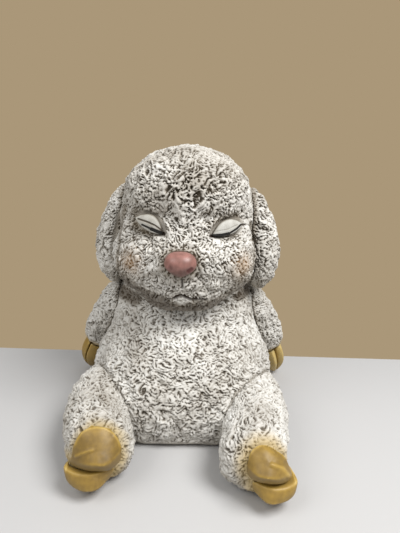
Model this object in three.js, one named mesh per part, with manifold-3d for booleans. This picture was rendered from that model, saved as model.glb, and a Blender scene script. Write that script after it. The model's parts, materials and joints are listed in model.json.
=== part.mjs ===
// Seated sheep statue in cast resin, leaning back on its forelegs with its hind legs stretched out.
// Head and torso are hollow shells joined by a sleeve. The limbs, ears and tail are solid castings on
// dowels, the claws and the nose plug in on pegs, and the eyelids sit in shallow pockets.
// Millimetres, +Z up. The sheep faces -Y, and its own left side is +X. It rests on the plane Z = 0,
// with the origin under the middle of the belly.
import * as THREE from "three";
import { mergeVertices } from "three/addons/utils/BufferGeometryUtils.js";
import Module from "manifold-3d";

const wasm = await Module();
wasm.setup();

// Walls, gaps and the base
const GLUE_GAP = 0.5; // room for adhesive between two castings
const WALL = 9; // wall of the hollow head and torso
const FELT_THICKNESS = 1.5;
const FELT_INSET = 5; // from the torso's foot to the edge of the felt
const PLATE_WIDTH = 96; // base plate, across
const PLATE_DEPTH = 70; // base plate, front to back
const PLATE_FLANGE = 6; // how far the plate's flange stands out all round
const PLATE_FLANGE_THICKNESS = 3;

// Torso: a belly under a chest and a neck, with a lap that fills the front of the foot
const BELLY_WIDTH = 186;
const BELLY_DEPTH = 162;
const BELLY_HEIGHT = 150;
const BELLY_RISE = 37; // centre of the belly above the foot
const LAP_WIDTH = 104;
const LAP_DEPTH = 104;
const LAP_HEIGHT = 88;
const LAP_RISE = 20;
const LAP_AHEAD = 38; // centre of the lap in front of the belly's
const LAP_SPREAD = 60; // between the middles of the lap's two halves
const CHEST_WIDTH = 146;
const CHEST_DEPTH = 112;
const CHEST_HEIGHT = 104;
const CHEST_RISE = 104;
const CHEST_LEAN = 20; // the chest sits this far behind the belly
const NECK_WIDTH = 92;
const NECK_DEPTH = 84;
const NECK_HEIGHT = 76;
const NECK_ABOVE_CHEST = 36;
const TORSO_FLOW = 26; // how far one lump of clay flows into the next
const TORSO_HEART = 0.5; // the torso's centre, as a share of the way from the belly's to the chest's

// Head: each place on it is measured from the skull's centre
const SKULL_WIDTH = 130;
const SKULL_DEPTH = 132;
const SKULL_HEIGHT = 124;
const SKULL_ABOVE_CHEST = 102;
const SKULL_AHEAD_OF_CHEST = 14;
const HEAD_TURN = 3; // degrees, towards the sheep's right
const HEAD_FLOW = 20;
const HEAD_HEART = 0.3; // the head's centre, as a share of the way from the skull's to the muzzle's
const CAP_WIDTH = 104; // wool cap over the brow
const CAP_DEPTH = 62;
const CAP_HEIGHT = 58;
const CAP_AHEAD = 36;
const CAP_ABOVE = 20;
const CHEEK_SIZE = 72;
const CHEEK_SPREAD = 64; // between the middles of the two cheeks
const CHEEK_AHEAD = 32;
const CHEEK_BELOW = 41;
const MUZZLE_WIDTH = 64;
const MUZZLE_DEPTH = 54;
const MUZZLE_HEIGHT = 50;
const MUZZLE_AHEAD = 58;
const MUZZLE_BELOW = 42;
const CHIN_WIDTH = 70;
const CHIN_DEPTH = 42;
const CHIN_HEIGHT = 36;
const CHIN_AHEAD = 52;
const CHIN_BELOW = 70;
const SOCKET_WIDTH = 38; // dent that each eyelid lies in
const SOCKET_HEIGHT = 24;
const SOCKET_DEPTH = 5;

// Wool: low locks that swell all over the head and the torso, under the fine carving
const LOCK_SPACING = 27; // from one lock to the next
const LOCK_HEIGHT = 1.2; // how far a tall lock stands above the mean surface

// Face pieces
const EYELID_WIDTH = 32;
const EYELID_HEIGHT = 15;
const EYELID_THICKNESS = 13;
const EYELID_POINT = 0.35; // share of its height that an eyelid loses at its corners
const EYE_SPREAD = 66; // between the middles of the two eyelids
const EYE_BELOW = 9;
const EYE_SHIFT = 2; // how far both eyes lie towards the sheep's left
const LEFT_EYE_SLANT = 22; // degrees, outer corner high
const RIGHT_EYE_SLANT = 30;
const NOSE_WIDTH = 27;
const NOSE_HEIGHT = 21;
const NOSE_DEPTH = 22;
const NOSE_BELOW = 37;
const NOSE_TAPER = 0.3; // share of its width that the nose loses at its lower edge
const NOSE_PEG_DIAMETER = 7;
const NOSE_PEG_LENGTH = 22;

// Neck sleeve, a short tube that lines up the head and the torso
const SLEEVE_DIAMETER = 58;
const SLEEVE_WALL = 4;
const SLEEVE_LENGTH = 48;

// Ears: a root that carries a hanging flap
const EAR_ROOT_SIZE = 43;
const EAR_ROOT_ABOVE = 3;
const EAR_ROOT_IN = 8; // from the side of the skull to the middle of the root
const EAR_FLAP_THICKNESS = 40;
const EAR_FLAP_WIDTH = 60;
const EAR_FLAP_LENGTH = 78;
const EAR_FLAP_OUT = 10; // from the side of the skull to the middle of the flap
const EAR_FLAP_BELOW = 43;
const EAR_BACK = 6; // how far the ear sits behind the skull's centre
const EAR_FLOW = 22;
const EAR_HEART = 0.5; // the ear's centre, as a share of the way from the root's to the flap's
const EAR_PIN_DIAMETER = 5;
const EAR_PIN_LENGTH = 30;

// Forelegs, from the shoulder to the wrist
const SHOULDER_IN = 18; // from the side of the chest to the middle of the shoulder
const SHOULDER_ABOVE = 12;
const SHOULDER_BACK = 4;
const FORELEG_OUT = 54; // from the shoulder to the wrist
const FORELEG_BACK = 31;
const FORELEG_DROP = 78;
const SHOULDER_RADIUS = 29;
const ELBOW_RADIUS = 25;
const ELBOW_ALONG = 0.5; // share of the way from the shoulder to the wrist
const WRIST_RADIUS = 20;
const SHOULDER_DOWEL_DIAMETER = 8;
const SHOULDER_DOWEL_LENGTH = 36;
const SHOULDER_DOWEL_ALONG = 0.25; // how far down the leg its dowel aims, as a share of the leg

// Hind legs, from the hip to the ankle. The left one reaches further, and its hoof turns out more
const HIP_IN = 31; // from the side of the belly to the middle of the hip
const HIP_AHEAD = 8;
const HIP_RISE = 30;
const KNEE_AHEAD = 62;
const LEFT_KNEE_OUT = 8;
const LEFT_ANKLE_OUT = -8;
const LEFT_ANKLE_AHEAD = 142;
const LEFT_HOOF_OUT = 12; // from the middle of the ankle to the middle of the hoof
const RIGHT_KNEE_OUT = 15;
const RIGHT_ANKLE_OUT = -5;
const RIGHT_ANKLE_AHEAD = 133;
const RIGHT_HOOF_OUT = 4;
const HIP_RADIUS = 30;
const KNEE_RADIUS = 29;
const ANKLE_RADIUS = 26;
const HIP_DOWEL_DIAMETER = 10;
const HIP_DOWEL_LENGTH = 40;
const HIP_DOWEL_ALONG = 0.48; // how far down the leg its dowel aims, as a share of the leg

// Powers that square off the ends of a limb
const ROOT_BLUNTNESS = 4;
const WRIST_BLUNTNESS = 5;
const ANKLE_BLUNTNESS = 12;

// Claws: length runs to the tip, and thickness is from the cleft to the outside
const HIND_CLAW_LENGTH = 40;
const HIND_CLAW_THICKNESS = 26;
const HIND_CLAW_DEPTH = 44;
const HIND_HOOF_DROP = 1; // from the middle of the ankle to the cleft
const HIND_HOOF_SINK = 8; // from the end of the leg back to the middle of the hoof
const HIND_CLAW_STEP = 5; // how much further out the lower claw lies than the upper one
const FORE_CLAW_LENGTH = 54;
const FORE_CLAW_THICKNESS = 16;
const FORE_CLAW_DEPTH = 34;
const FORE_HOOF_TURN = 30; // degrees, by which the outer claw stands behind the inner one
const CLEFT = 1.6; // gap between the two claws of a hoof
const CLAW_TAPER = 0.45; // share of its width that a claw loses at its tip
const CLAW_RIDGE = 0.4; // share of its depth that a claw loses from its ridge to the cleft
const CLAW_RIDGE_AT = 0.45; // how far the ridge lies from the cleft, as a share of the thickness
const CLAW_PEG_FROM_CLEFT = 9;
const CLAW_PEG_DIAMETER = 8;
const CLAW_PEG_LENGTH = 30;
const HIND_PEG_REACH = 4; // how far a peg reaches into its hind claw from the end of the leg

// Tail
const TAIL_WIDTH = 38;
const TAIL_DEPTH = 46;
const TAIL_HEIGHT = 40;
const TAIL_RISE = 30;
const TAIL_PIN_DIAMETER = 5;
const TAIL_PIN_LENGTH = 30;

// Fineness of the round forms
const BODY_DETAIL = 10;
const HEAD_DETAIL = 10;
const SMALL_DETAIL = 4;
const CLAW_SIDES = 28;
const CLAW_RINGS = 14;
const CAVITY_DETAIL = 3;
const LIMB_SIDES = 16;
const LIMB_RINGS = 12;
const PIN_SIDES = 12;
const OVAL_SIDES = 24;

// Finding a surface along a ray
const FAR = 400;
const HALVINGS = 32;

const SIDES = { left: 1, right: -1 };
const vector = (x, y, z) => new THREE.Vector3(x, y, z);
const radians = THREE.MathUtils.degToRad;
const UP = vector(0, 0, 1);
const DOWN = vector(0, 0, -1);

const finish = (color, roughness, metalness = 0) =>
  new THREE.MeshStandardMaterial({ color, roughness, metalness });
const woolResin = finish(0xd9d5c9, 0.85);
const hoofResin = finish(0xb08c4a, 0.45);
const noseResin = finish(0xbf817a, 0.35);
const lidResin = finish(0xe2dfd4, 0.6);
const plainResin = finish(0xc9c4b6, 0.8);
const steel = finish(0x9a9c9e, 0.35, 1);
const beech = finish(0xc8a676, 0.7);
const felt = finish(0x4b4f45, 0.95);

// Solids

function solidFrom(geometry) {
  const bare = geometry.clone();
  bare.deleteAttribute("normal");
  bare.deleteAttribute("uv");
  const merged = mergeVertices(bare);
  const vertProperties = merged.attributes.position.array;
  const triVerts = new Uint32Array(merged.index.array);
  return new wasm.Manifold(new wasm.Mesh({ numProp: 3, vertProperties, triVerts }));
}

function geometryFrom(solid) {
  const mesh = solid.getMesh();
  const geometry = new THREE.BufferGeometry();
  geometry.setAttribute("position", new THREE.BufferAttribute(mesh.vertProperties, 3));
  geometry.setIndex(new THREE.BufferAttribute(mesh.triVerts, 1));
  geometry.computeVertexNormals();
  return geometry;
}

// Moves every vertex of a unit form to where place() puts it.
function reshape(geometry, place) {
  const position = geometry.attributes.position;
  for (let i = 0; i < position.count; i++) {
    const moved = place(vector().fromBufferAttribute(position, i));
    position.setXYZ(i, moved.x, moved.y, moved.z);
  }
  return solidFrom(geometry);
}

// Turns a geometry's +Y axis to a direction and moves its origin to a point.
function aim(geometry, point, direction) {
  const turn = new THREE.Quaternion().setFromUnitVectors(vector(0, 1, 0), direction);
  geometry.applyQuaternion(turn).translate(point.x, point.y, point.z);
  return solidFrom(geometry);
}

// A straight rod whose middle is at a point, along a direction.
function rod(middle, direction, diameter, length, grow = 0, sides = PIN_SIDES) {
  const radius = diameter / 2 + grow;
  return aim(new THREE.CylinderGeometry(radius, radius, length + 2 * grow, sides), middle, direction);
}

// Everything beyond a plane, as far as the statue reaches.
const halfSpace = (point, normal) =>
  aim(new THREE.BoxGeometry(FAR, FAR, FAR).translate(0, FAR / 2, 0), point, normal);

// Clay forms: ellipsoid lumps that flow into one another, less shallow dents

const lump = (at, width, depth, height) => ({ at, half: vector(width / 2, depth / 2, height / 2) });

function lumpDistance(point, { at, half }) {
  const scaled = point.clone().sub(at).divide(half);
  const nearness = scaled.length();
  const slope = scaled.divide(half).length();
  return slope === 0 ? -half.x : (nearness * (nearness - 1)) / slope;
}

function softMin(a, b, reach) {
  const overlap = Math.max(reach - Math.abs(a - b), 0) / reach;
  return Math.min(a, b) - (overlap * overlap * reach) / 4;
}

// Locks of wool repeat along the six axes of an icosahedron, which never line up into rows.
const GOLDEN = (1 + Math.sqrt(5)) / 2;
const lockWays = [1, -1].flatMap((sign) =>
  [vector(0, sign, GOLDEN), vector(sign, GOLDEN, 0), vector(GOLDEN, 0, sign)].map((way) => way.normalize()),
);

// About 1 on top of a tall lock, and about -1 in the deepest place between locks.
const lockSwell = (point) =>
  lockWays
    .map((way) => Math.cos((2 * Math.PI * way.dot(point)) / LOCK_SPACING))
    .reduce((a, b) => a + b) / (lockWays.length / 2);

function clayDistance({ lumps, dents = [], flow = 1, lockHeight = 0 }, point) {
  const solid = lumps
    .map((each) => lumpDistance(point, each))
    .reduce((a, b) => softMin(a, b, flow));
  const dented = dents
    .map((each) => lumpDistance(point, each))
    .reduce((a, b) => -softMin(-a, b, flow / 2), solid);
  return dented - lockHeight * lockSwell(point);
}

// How far along a path, given as a function of distance, the clay or the clay grown by a gap ends.
function reachOf(clay, path, grow) {
  let inside = 0;
  let outside = FAR;
  for (let halving = 0; halving < HALVINGS; halving++) {
    const middle = (inside + outside) / 2;
    if (clayDistance(clay, path(middle)) < grow) inside = middle;
    else outside = middle;
  }
  return inside;
}

// The point where a ray from the clay's centre leaves it.
function surfacePoint(clay, direction, grow = 0) {
  const path = (distance) => clay.centre.clone().addScaledVector(direction, distance);
  return path(reachOf(clay, path, grow));
}

const sculpt = (clay, detail, grow = 0) =>
  reshape(new THREE.IcosahedronGeometry(1, detail), (unit) => surfacePoint(clay, unit, grow));

// Limbs: a round form along a curve, with blunt ends

function limbForm({ curve, girths, endBluntness }, grow = 0) {
  const girth = new THREE.CatmullRomCurve3(girths.map((radius) => vector(radius, 0, 0)));
  return reshape(new THREE.SphereGeometry(1, LIMB_SIDES, LIMB_RINGS), (unit) => {
    const along = THREE.MathUtils.clamp((1 - unit.y) / 2, 0, 1);
    const tangent = curve.getTangent(along);
    const across = UP.clone().cross(tangent).normalize();
    const upright = tangent.clone().cross(across);
    const outwards = across.multiplyScalar(unit.x).addScaledVector(upright, unit.z);
    const normal = outwards.clone().addScaledVector(tangent, -unit.y).normalize();
    const bluntness = along < 0.5 ? ROOT_BLUNTNESS : endBluntness;
    const fullness = Math.sqrt(Math.max(1 - Math.abs(2 * along - 1) ** bluntness, 0));
    const radius = girth.getPoint(along).x * fullness;
    return curve
      .getPoint(along)
      .addScaledVector(outwards.normalize(), radius)
      .addScaledVector(normal, grow);
  });
}

// Claws: an almond that the cleft halves, whose front comes to a ridge and whose tip tapers

function clawForm({ middle, tip, stack, front, length, thickness, depth }) {
  return reshape(new THREE.SphereGeometry(1, CLAW_SIDES, CLAW_RINGS), (unit) => {
    const width = 1 - CLAW_TAPER * Math.max(unit.x, 0) ** 2;
    const offRidge = Math.abs(Math.abs(unit.y) - CLAW_RIDGE_AT) / CLAW_RIDGE_AT;
    const ridge = unit.z > 0 ? 1 - CLAW_RIDGE * Math.min(offRidge, 1) : 1;
    return middle
      .clone()
      .addScaledVector(tip, (unit.x * length) / 2)
      .addScaledVector(stack, unit.y * width * thickness)
      .addScaledVector(front, (unit.z * width * ridge * depth) / 2);
  });
}

// Torso

const footPlane = FELT_THICKNESS + GLUE_GAP;
const bellyMiddle = vector(0, 0, footPlane + BELLY_RISE);
const lapMiddle = (side) => vector((side * LAP_SPREAD) / 2, -LAP_AHEAD, footPlane + LAP_RISE);
const chestMiddle = vector(0, CHEST_LEAN, footPlane + CHEST_RISE);
const neckMiddle = chestMiddle.clone().add(vector(0, 0, NECK_ABOVE_CHEST));
const torsoClay = {
  centre: bellyMiddle.clone().lerp(chestMiddle, TORSO_HEART),
  lumps: [
    lump(bellyMiddle, BELLY_WIDTH, BELLY_DEPTH, BELLY_HEIGHT),
    lump(lapMiddle(SIDES.left), LAP_WIDTH, LAP_DEPTH, LAP_HEIGHT),
    lump(lapMiddle(SIDES.right), LAP_WIDTH, LAP_DEPTH, LAP_HEIGHT),
    lump(chestMiddle, CHEST_WIDTH, CHEST_DEPTH, CHEST_HEIGHT),
    lump(neckMiddle, NECK_WIDTH, NECK_DEPTH, NECK_HEIGHT),
  ],
  flow: TORSO_FLOW,
};

// Head

const skullMiddle = chestMiddle.clone().add(vector(0, -SKULL_AHEAD_OF_CHEST, SKULL_ABOVE_CHEST));
const turnHead = (offset) => offset.applyAxisAngle(DOWN, radians(HEAD_TURN));
const onHead = (out, ahead, above) => skullMiddle.clone().add(turnHead(vector(out, -ahead, above)));
const cheekMiddle = (side) => onHead((side * CHEEK_SPREAD) / 2, CHEEK_AHEAD, -CHEEK_BELOW);
const plainHead = {
  centre: skullMiddle.clone().lerp(onHead(0, MUZZLE_AHEAD, -MUZZLE_BELOW), HEAD_HEART),
  lumps: [
    lump(skullMiddle, SKULL_WIDTH, SKULL_DEPTH, SKULL_HEIGHT),
    lump(onHead(0, CAP_AHEAD, CAP_ABOVE), CAP_WIDTH, CAP_DEPTH, CAP_HEIGHT),
    lump(cheekMiddle(SIDES.left), CHEEK_SIZE, CHEEK_SIZE, CHEEK_SIZE),
    lump(cheekMiddle(SIDES.right), CHEEK_SIZE, CHEEK_SIZE, CHEEK_SIZE),
    lump(onHead(0, MUZZLE_AHEAD, -MUZZLE_BELOW), MUZZLE_WIDTH, MUZZLE_DEPTH, MUZZLE_HEIGHT),
    lump(onHead(0, CHIN_AHEAD, -CHIN_BELOW), CHIN_WIDTH, CHIN_DEPTH, CHIN_HEIGHT),
  ],
  flow: HEAD_FLOW,
};

// The point on the front of the head at a given place across and above the skull's centre.
function facePoint(clay, out, above) {
  const path = (ahead) => onHead(out, ahead, above);
  return path(reachOf(clay, path, 0));
}
const eyePoint = (clay, side) => facePoint(clay, (side * EYE_SPREAD) / 2 + EYE_SHIFT, -EYE_BELOW);

// Each eye socket is a dent SOCKET_DEPTH deep, cut by a lump that is twice as long as it is high.
function eyeSocket(side) {
  const inFront = turnHead(vector(0, SOCKET_DEPTH - SOCKET_HEIGHT, 0));
  const middle = eyePoint(plainHead, side).add(inFront);
  return lump(middle, SOCKET_WIDTH, 2 * SOCKET_HEIGHT, SOCKET_HEIGHT);
}
const headClay = { ...plainHead, dents: Object.values(SIDES).map(eyeSocket) };

// Face pieces

function eyelidForm(side, grow = 0) {
  const at = eyePoint(headClay, side);
  const slant = radians(side > 0 ? LEFT_EYE_SLANT : -RIGHT_EYE_SLANT);
  return reshape(new THREE.IcosahedronGeometry(1, SMALL_DETAIL), (unit) => {
    const almond = 1 - EYELID_POINT * unit.x ** 2;
    const local = vector(
      unit.x * (EYELID_WIDTH / 2 + grow),
      unit.y * (EYELID_THICKNESS / 2 + grow),
      unit.z * almond * (EYELID_HEIGHT / 2 + grow),
    );
    return turnHead(local.applyAxisAngle(vector(0, -1, 0), slant)).add(at);
  });
}

const noseAt = facePoint(headClay, 0, -NOSE_BELOW);
function noseForm(grow = 0) {
  return reshape(new THREE.IcosahedronGeometry(1, SMALL_DETAIL), (unit) => {
    const width = 1 - NOSE_TAPER * Math.min(unit.z, 0) ** 2;
    const local = vector(
      unit.x * width * (NOSE_WIDTH / 2 + grow),
      unit.y * (NOSE_DEPTH / 2 + grow),
      unit.z * (NOSE_HEIGHT / 2 + grow),
    );
    return turnHead(local).add(noseAt);
  });
}
const noseInwards = turnHead(vector(0, 1, 0));
const nosePegMiddle = noseAt.clone().addScaledVector(noseInwards, NOSE_PEG_LENGTH / 2);
const nosePeg = (grow = 0) =>
  rod(nosePegMiddle, noseInwards, NOSE_PEG_DIAMETER, NOSE_PEG_LENGTH, grow);

// Ears

function earClay(side) {
  const root = onHead(side * (SKULL_WIDTH / 2 - EAR_ROOT_IN), -EAR_BACK, EAR_ROOT_ABOVE);
  const flap = onHead(side * (SKULL_WIDTH / 2 + EAR_FLAP_OUT), -EAR_BACK, -EAR_FLAP_BELOW);
  return {
    centre: root.clone().lerp(flap, EAR_HEART),
    lumps: [
      lump(root, EAR_ROOT_SIZE, EAR_ROOT_SIZE, EAR_ROOT_SIZE),
      lump(flap, EAR_FLAP_THICKNESS, EAR_FLAP_WIDTH, EAR_FLAP_LENGTH),
    ],
    flow: EAR_FLOW,
  };
}

// Legs

function foreleg(side) {
  const out = side * (CHEST_WIDTH / 2 - SHOULDER_IN);
  const shoulder = chestMiddle.clone().add(vector(out, SHOULDER_BACK, SHOULDER_ABOVE));
  const wrist = shoulder.clone().add(vector(side * FORELEG_OUT, FORELEG_BACK, -FORELEG_DROP));
  const elbow = shoulder.clone().lerp(wrist, ELBOW_ALONG);
  return {
    curve: new THREE.CatmullRomCurve3([shoulder, elbow, wrist]),
    girths: [SHOULDER_RADIUS, ELBOW_RADIUS, WRIST_RADIUS],
    endBluntness: WRIST_BLUNTNESS,
  };
}

function hindLeg(side) {
  const kneeOut = side > 0 ? LEFT_KNEE_OUT : RIGHT_KNEE_OUT;
  const ankleOut = side > 0 ? LEFT_ANKLE_OUT : RIGHT_ANKLE_OUT;
  const ankleAhead = side > 0 ? LEFT_ANKLE_AHEAD : RIGHT_ANKLE_AHEAD;
  const hip = vector(side * (BELLY_WIDTH / 2 - HIP_IN), -HIP_AHEAD, HIP_RISE);
  const knee = vector(hip.x + side * kneeOut, hip.y - KNEE_AHEAD, KNEE_RADIUS);
  const ankle = vector(hip.x + side * ankleOut, hip.y - ankleAhead, ANKLE_RADIUS);
  return {
    curve: new THREE.CatmullRomCurve3([hip, knee, ankle]),
    girths: [HIP_RADIUS, KNEE_RADIUS, ANKLE_RADIUS],
    endBluntness: ANKLE_BLUNTNESS,
  };
}

// Hooves: each has two claws, stacked along one direction with the cleft between them

function hindHoof(side, leg) {
  const front = leg.curve.getTangent(1);
  const tip = vector(side, 0, 0).projectOnPlane(front).normalize();
  const stack = front.clone().cross(tip);
  const middle = leg.curve
    .getPoint(1)
    .addScaledVector(tip, side > 0 ? LEFT_HOOF_OUT : RIGHT_HOOF_OUT)
    .addScaledVector(front, -HIND_HOOF_SINK)
    .add(vector(0, 0, -HIND_HOOF_DROP));
  return {
    ...{ middle, tip, stack, front, inwards: front.clone().negate() },
    ...{ length: HIND_CLAW_LENGTH, thickness: HIND_CLAW_THICKNESS, depth: HIND_CLAW_DEPTH },
    places: { upper: Math.sign(stack.z), lower: -Math.sign(stack.z) },
    steps: { upper: 0, lower: HIND_CLAW_STEP },
    pegFrom: middle.clone().addScaledVector(front, HIND_HOOF_SINK + HIND_PEG_REACH),
  };
}

function foreHoof(side, leg) {
  const tip = leg.curve.getTangent(1).add(DOWN).normalize();
  const turn = radians(FORE_HOOF_TURN);
  const stack = vector(side * Math.cos(turn), Math.sin(turn), 0).projectOnPlane(tip).normalize();
  const middle = leg.curve.getPoint(1).setZ(FORE_CLAW_LENGTH / 2);
  return {
    ...{ middle, pegFrom: middle },
    ...{ tip, stack, front: tip.clone().cross(stack), inwards: tip.clone().negate() },
    ...{ length: FORE_CLAW_LENGTH, thickness: FORE_CLAW_THICKNESS, depth: FORE_CLAW_DEPTH },
    places: { outer: 1, inner: -1 },
    steps: { outer: 0, inner: 0 },
  };
}

// Base plate: a stepped oval whose flange sits in a rebate, flush with the torso's foot

function basePlate(grow = 0) {
  const flange = PLATE_WIDTH / 2 + PLATE_FLANGE + grow;
  const plug = PLATE_WIDTH / 2 + grow;
  const step = PLATE_FLANGE_THICKNESS + grow;
  const outline = [
    [0, -grow],
    [flange, -grow],
    [flange, step],
    [plug, step],
    [plug, WALL + grow],
    [0, WALL + grow],
  ].map(([radius, height]) => new THREE.Vector2(radius, height));
  const geometry = new THREE.LatheGeometry(outline, OVAL_SIDES);
  geometry.rotateX(Math.PI / 2).scale(1, PLATE_DEPTH / PLATE_WIDTH, 1);
  geometry.translate(bellyMiddle.x, bellyMiddle.y, footPlane);
  return solidFrom(geometry);
}

// Felt: follows the outline of the torso's foot

function feltSheet() {
  const footClay = { ...torsoClay, centre: bellyMiddle.clone().setZ(footPlane) };
  const edge = Array.from({ length: OVAL_SIDES }, (_, index) => {
    const angle = (index * 2 * Math.PI) / OVAL_SIDES;
    const point = surfacePoint(footClay, vector(Math.cos(angle), Math.sin(angle), 0), -FELT_INSET);
    return new THREE.Vector2(point.x, point.y);
  });
  const options = { depth: FELT_THICKNESS, bevelEnabled: false };
  return solidFrom(new THREE.ExtrudeGeometry(new THREE.Shape(edge), options));
}

// Assembly: each piece is placed at the middle of its own box

const statue = new THREE.Group();
const bodyGroup = new THREE.Group();
const headGroup = new THREE.Group();
headGroup.position.copy(skullMiddle);
statue.add(bodyGroup, headGroup);

function add(group, name, solid, material) {
  const geometry = geometryFrom(solid);
  geometry.computeBoundingBox();
  const middle = geometry.boundingBox.getCenter(vector());
  geometry.translate(-middle.x, -middle.y, -middle.z);
  const mesh = new THREE.Mesh(geometry, material);
  mesh.name = name;
  mesh.position.copy(middle).sub(group.position);
  group.add(mesh);
}

const floor = halfSpace(vector(0, 0, 0), DOWN);
const woolTorso = { ...torsoClay, lockHeight: LOCK_HEIGHT };
const woolHead = { ...headClay, lockHeight: LOCK_HEIGHT };
const torsoCutter = sculpt(woolTorso, BODY_DETAIL, GLUE_GAP);
const headCutter = sculpt(woolHead, HEAD_DETAIL, GLUE_GAP);

// Hollow shells: the torso keeps its wall under the seat of the head
const torsoCavity = sculpt(torsoClay, CAVITY_DETAIL, -WALL)
  .subtract(sculpt(plainHead, CAVITY_DETAIL, WALL + GLUE_GAP))
  .subtract(halfSpace(vector(0, 0, footPlane + WALL), DOWN));
let torso = sculpt(woolTorso, BODY_DETAIL)
  .subtract(headCutter)
  .subtract(halfSpace(vector(0, 0, footPlane), DOWN))
  .subtract(torsoCavity)
  .subtract(basePlate(GLUE_GAP));
let head = sculpt(woolHead, HEAD_DETAIL).subtract(sculpt(plainHead, CAVITY_DETAIL, -WALL));
add(bodyGroup, "base_plate", basePlate(), plainResin);
add(bodyGroup, "felt_base", feltSheet(), felt);

const headUnderside = surfacePoint({ ...headClay, centre: skullMiddle }, DOWN);
const sleeveMiddle = vector(0, chestMiddle.y, headUnderside.z);
const sleeveForm = (diameter, grow = 0) =>
  rod(sleeveMiddle, UP, diameter, SLEEVE_LENGTH, grow, OVAL_SIDES);
const sleeveBore = sleeveForm(SLEEVE_DIAMETER - 2 * SLEEVE_WALL - 2 * GLUE_GAP, GLUE_GAP);
torso = torso.subtract(sleeveForm(SLEEVE_DIAMETER, GLUE_GAP));
head = head.subtract(sleeveForm(SLEEVE_DIAMETER, GLUE_GAP));
add(bodyGroup, "neck_sleeve", sleeveForm(SLEEVE_DIAMETER).subtract(sleeveBore), plainResin);

for (const [name, side] of Object.entries(SIDES)) {
  const clay = earClay(side);
  const towardsEar = clay.centre.clone().sub(plainHead.centre).normalize();
  const seat = surfacePoint(headClay, towardsEar);
  const pin = (grow = 0) => rod(seat, towardsEar, EAR_PIN_DIAMETER, EAR_PIN_LENGTH, grow);
  const ear = sculpt(clay, SMALL_DETAIL)
    .subtract(headCutter)
    .subtract(torsoCutter)
    .subtract(limbForm(foreleg(side), GLUE_GAP))
    .subtract(pin(GLUE_GAP));
  add(headGroup, `${name}_ear`, ear, woolResin);
  add(headGroup, `${name}_ear_pin`, pin(), steel);
  add(headGroup, `${name}_eyelid`, eyelidForm(side), lidResin);
  head = head.subtract(pin(GLUE_GAP)).subtract(eyelidForm(side, GLUE_GAP));
}
add(headGroup, "nose", noseForm().add(nosePeg()), noseResin);
head = head.subtract(noseForm(GLUE_GAP)).subtract(nosePeg(GLUE_GAP));
add(headGroup, "head", head, woolResin);

// Adds one leg with its dowel and its two claws, and returns the torso bored for the dowel.
function addLeg(leg, hoof, dowelSize, names, boredTorso) {
  const group = new THREE.Group();
  group.position.copy(leg.curve.getPoint(0));
  statue.add(group);

  const outwards = leg.curve.getPoint(dowelSize.along).sub(torsoClay.centre).normalize();
  const seat = surfacePoint(torsoClay, outwards);
  const dowel = (grow = 0) => rod(seat, outwards, dowelSize.diameter, dowelSize.length, grow);
  add(group, names.dowel, dowel(), beech);

  let casting = limbForm(leg)
    .subtract(torsoCutter)
    .subtract(headCutter)
    .subtract(floor)
    .subtract(dowel(GLUE_GAP));
  for (const [place, sign] of Object.entries(hoof.places)) {
    const away = hoof.stack.clone().multiplyScalar(sign);
    const cleftFace = hoof.middle.clone().addScaledVector(away, CLEFT / 2);
    const pegMiddle = hoof.pegFrom
      .clone()
      .addScaledVector(away, CLAW_PEG_FROM_CLEFT)
      .addScaledVector(hoof.inwards, CLAW_PEG_LENGTH / 2);
    const peg = (grow = 0) =>
      rod(pegMiddle, hoof.inwards, CLAW_PEG_DIAMETER, CLAW_PEG_LENGTH, grow);
    const clawMiddle = hoof.middle.clone().addScaledVector(hoof.tip, hoof.steps[place]);
    const claw = clawForm({ ...hoof, middle: clawMiddle })
      .subtract(halfSpace(cleftFace, away.clone().negate()))
      .subtract(limbForm(leg, GLUE_GAP))
      .subtract(floor)
      .add(peg());
    add(group, `${names.hoof}_${place}_claw`, claw, hoofResin);
    casting = casting.subtract(peg(GLUE_GAP));
  }
  add(group, names.leg, casting, woolResin);
  return boredTorso.subtract(dowel(GLUE_GAP));
}

const shoulderDowel = {
  diameter: SHOULDER_DOWEL_DIAMETER,
  length: SHOULDER_DOWEL_LENGTH,
  along: SHOULDER_DOWEL_ALONG,
};
const hipDowel = { diameter: HIP_DOWEL_DIAMETER, length: HIP_DOWEL_LENGTH, along: HIP_DOWEL_ALONG };
for (const [name, side] of Object.entries(SIDES)) {
  const fore = foreleg(side);
  const foreNames = {
    leg: `${name}_foreleg`,
    hoof: `${name}_fore`,
    dowel: `${name}_shoulder_dowel`,
  };
  torso = addLeg(fore, foreHoof(side, fore), shoulderDowel, foreNames, torso);

  const hind = hindLeg(side);
  const hindNames = {
    leg: `${name}_hind_leg`,
    hoof: `${name}_hind`,
    dowel: `${name}_hip_dowel`,
  };
  torso = addLeg(hind, hindHoof(side, hind), hipDowel, hindNames, torso);
}

const backOfTorso = surfacePoint({ ...torsoClay, centre: vector(0, 0, TAIL_RISE) }, vector(0, 1, 0));
const tailAway = backOfTorso.clone().sub(torsoClay.centre).normalize();
const tailClay = {
  centre: backOfTorso,
  lumps: [lump(backOfTorso, TAIL_WIDTH, TAIL_DEPTH, TAIL_HEIGHT)],
};
const tailPin = (grow = 0) =>
  rod(backOfTorso, tailAway, TAIL_PIN_DIAMETER, TAIL_PIN_LENGTH, grow);
const tail = sculpt(tailClay, SMALL_DETAIL)
  .subtract(torsoCutter)
  .subtract(floor)
  .subtract(tailPin(GLUE_GAP));
add(bodyGroup, "tail", tail, woolResin);
add(bodyGroup, "tail_pin", tailPin(), steel);
add(bodyGroup, "torso", torso.subtract(tailPin(GLUE_GAP)), woolResin);

export default statue;
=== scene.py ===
"""Dresses the seated sheep statue: carved wool, painted hooves, a rosy nose and closed eyelids.

Sizes are in millimetres and meshes in metres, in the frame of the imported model: +Z is up, the sheep faces
-Y and its own left side is +X.
"""

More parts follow.
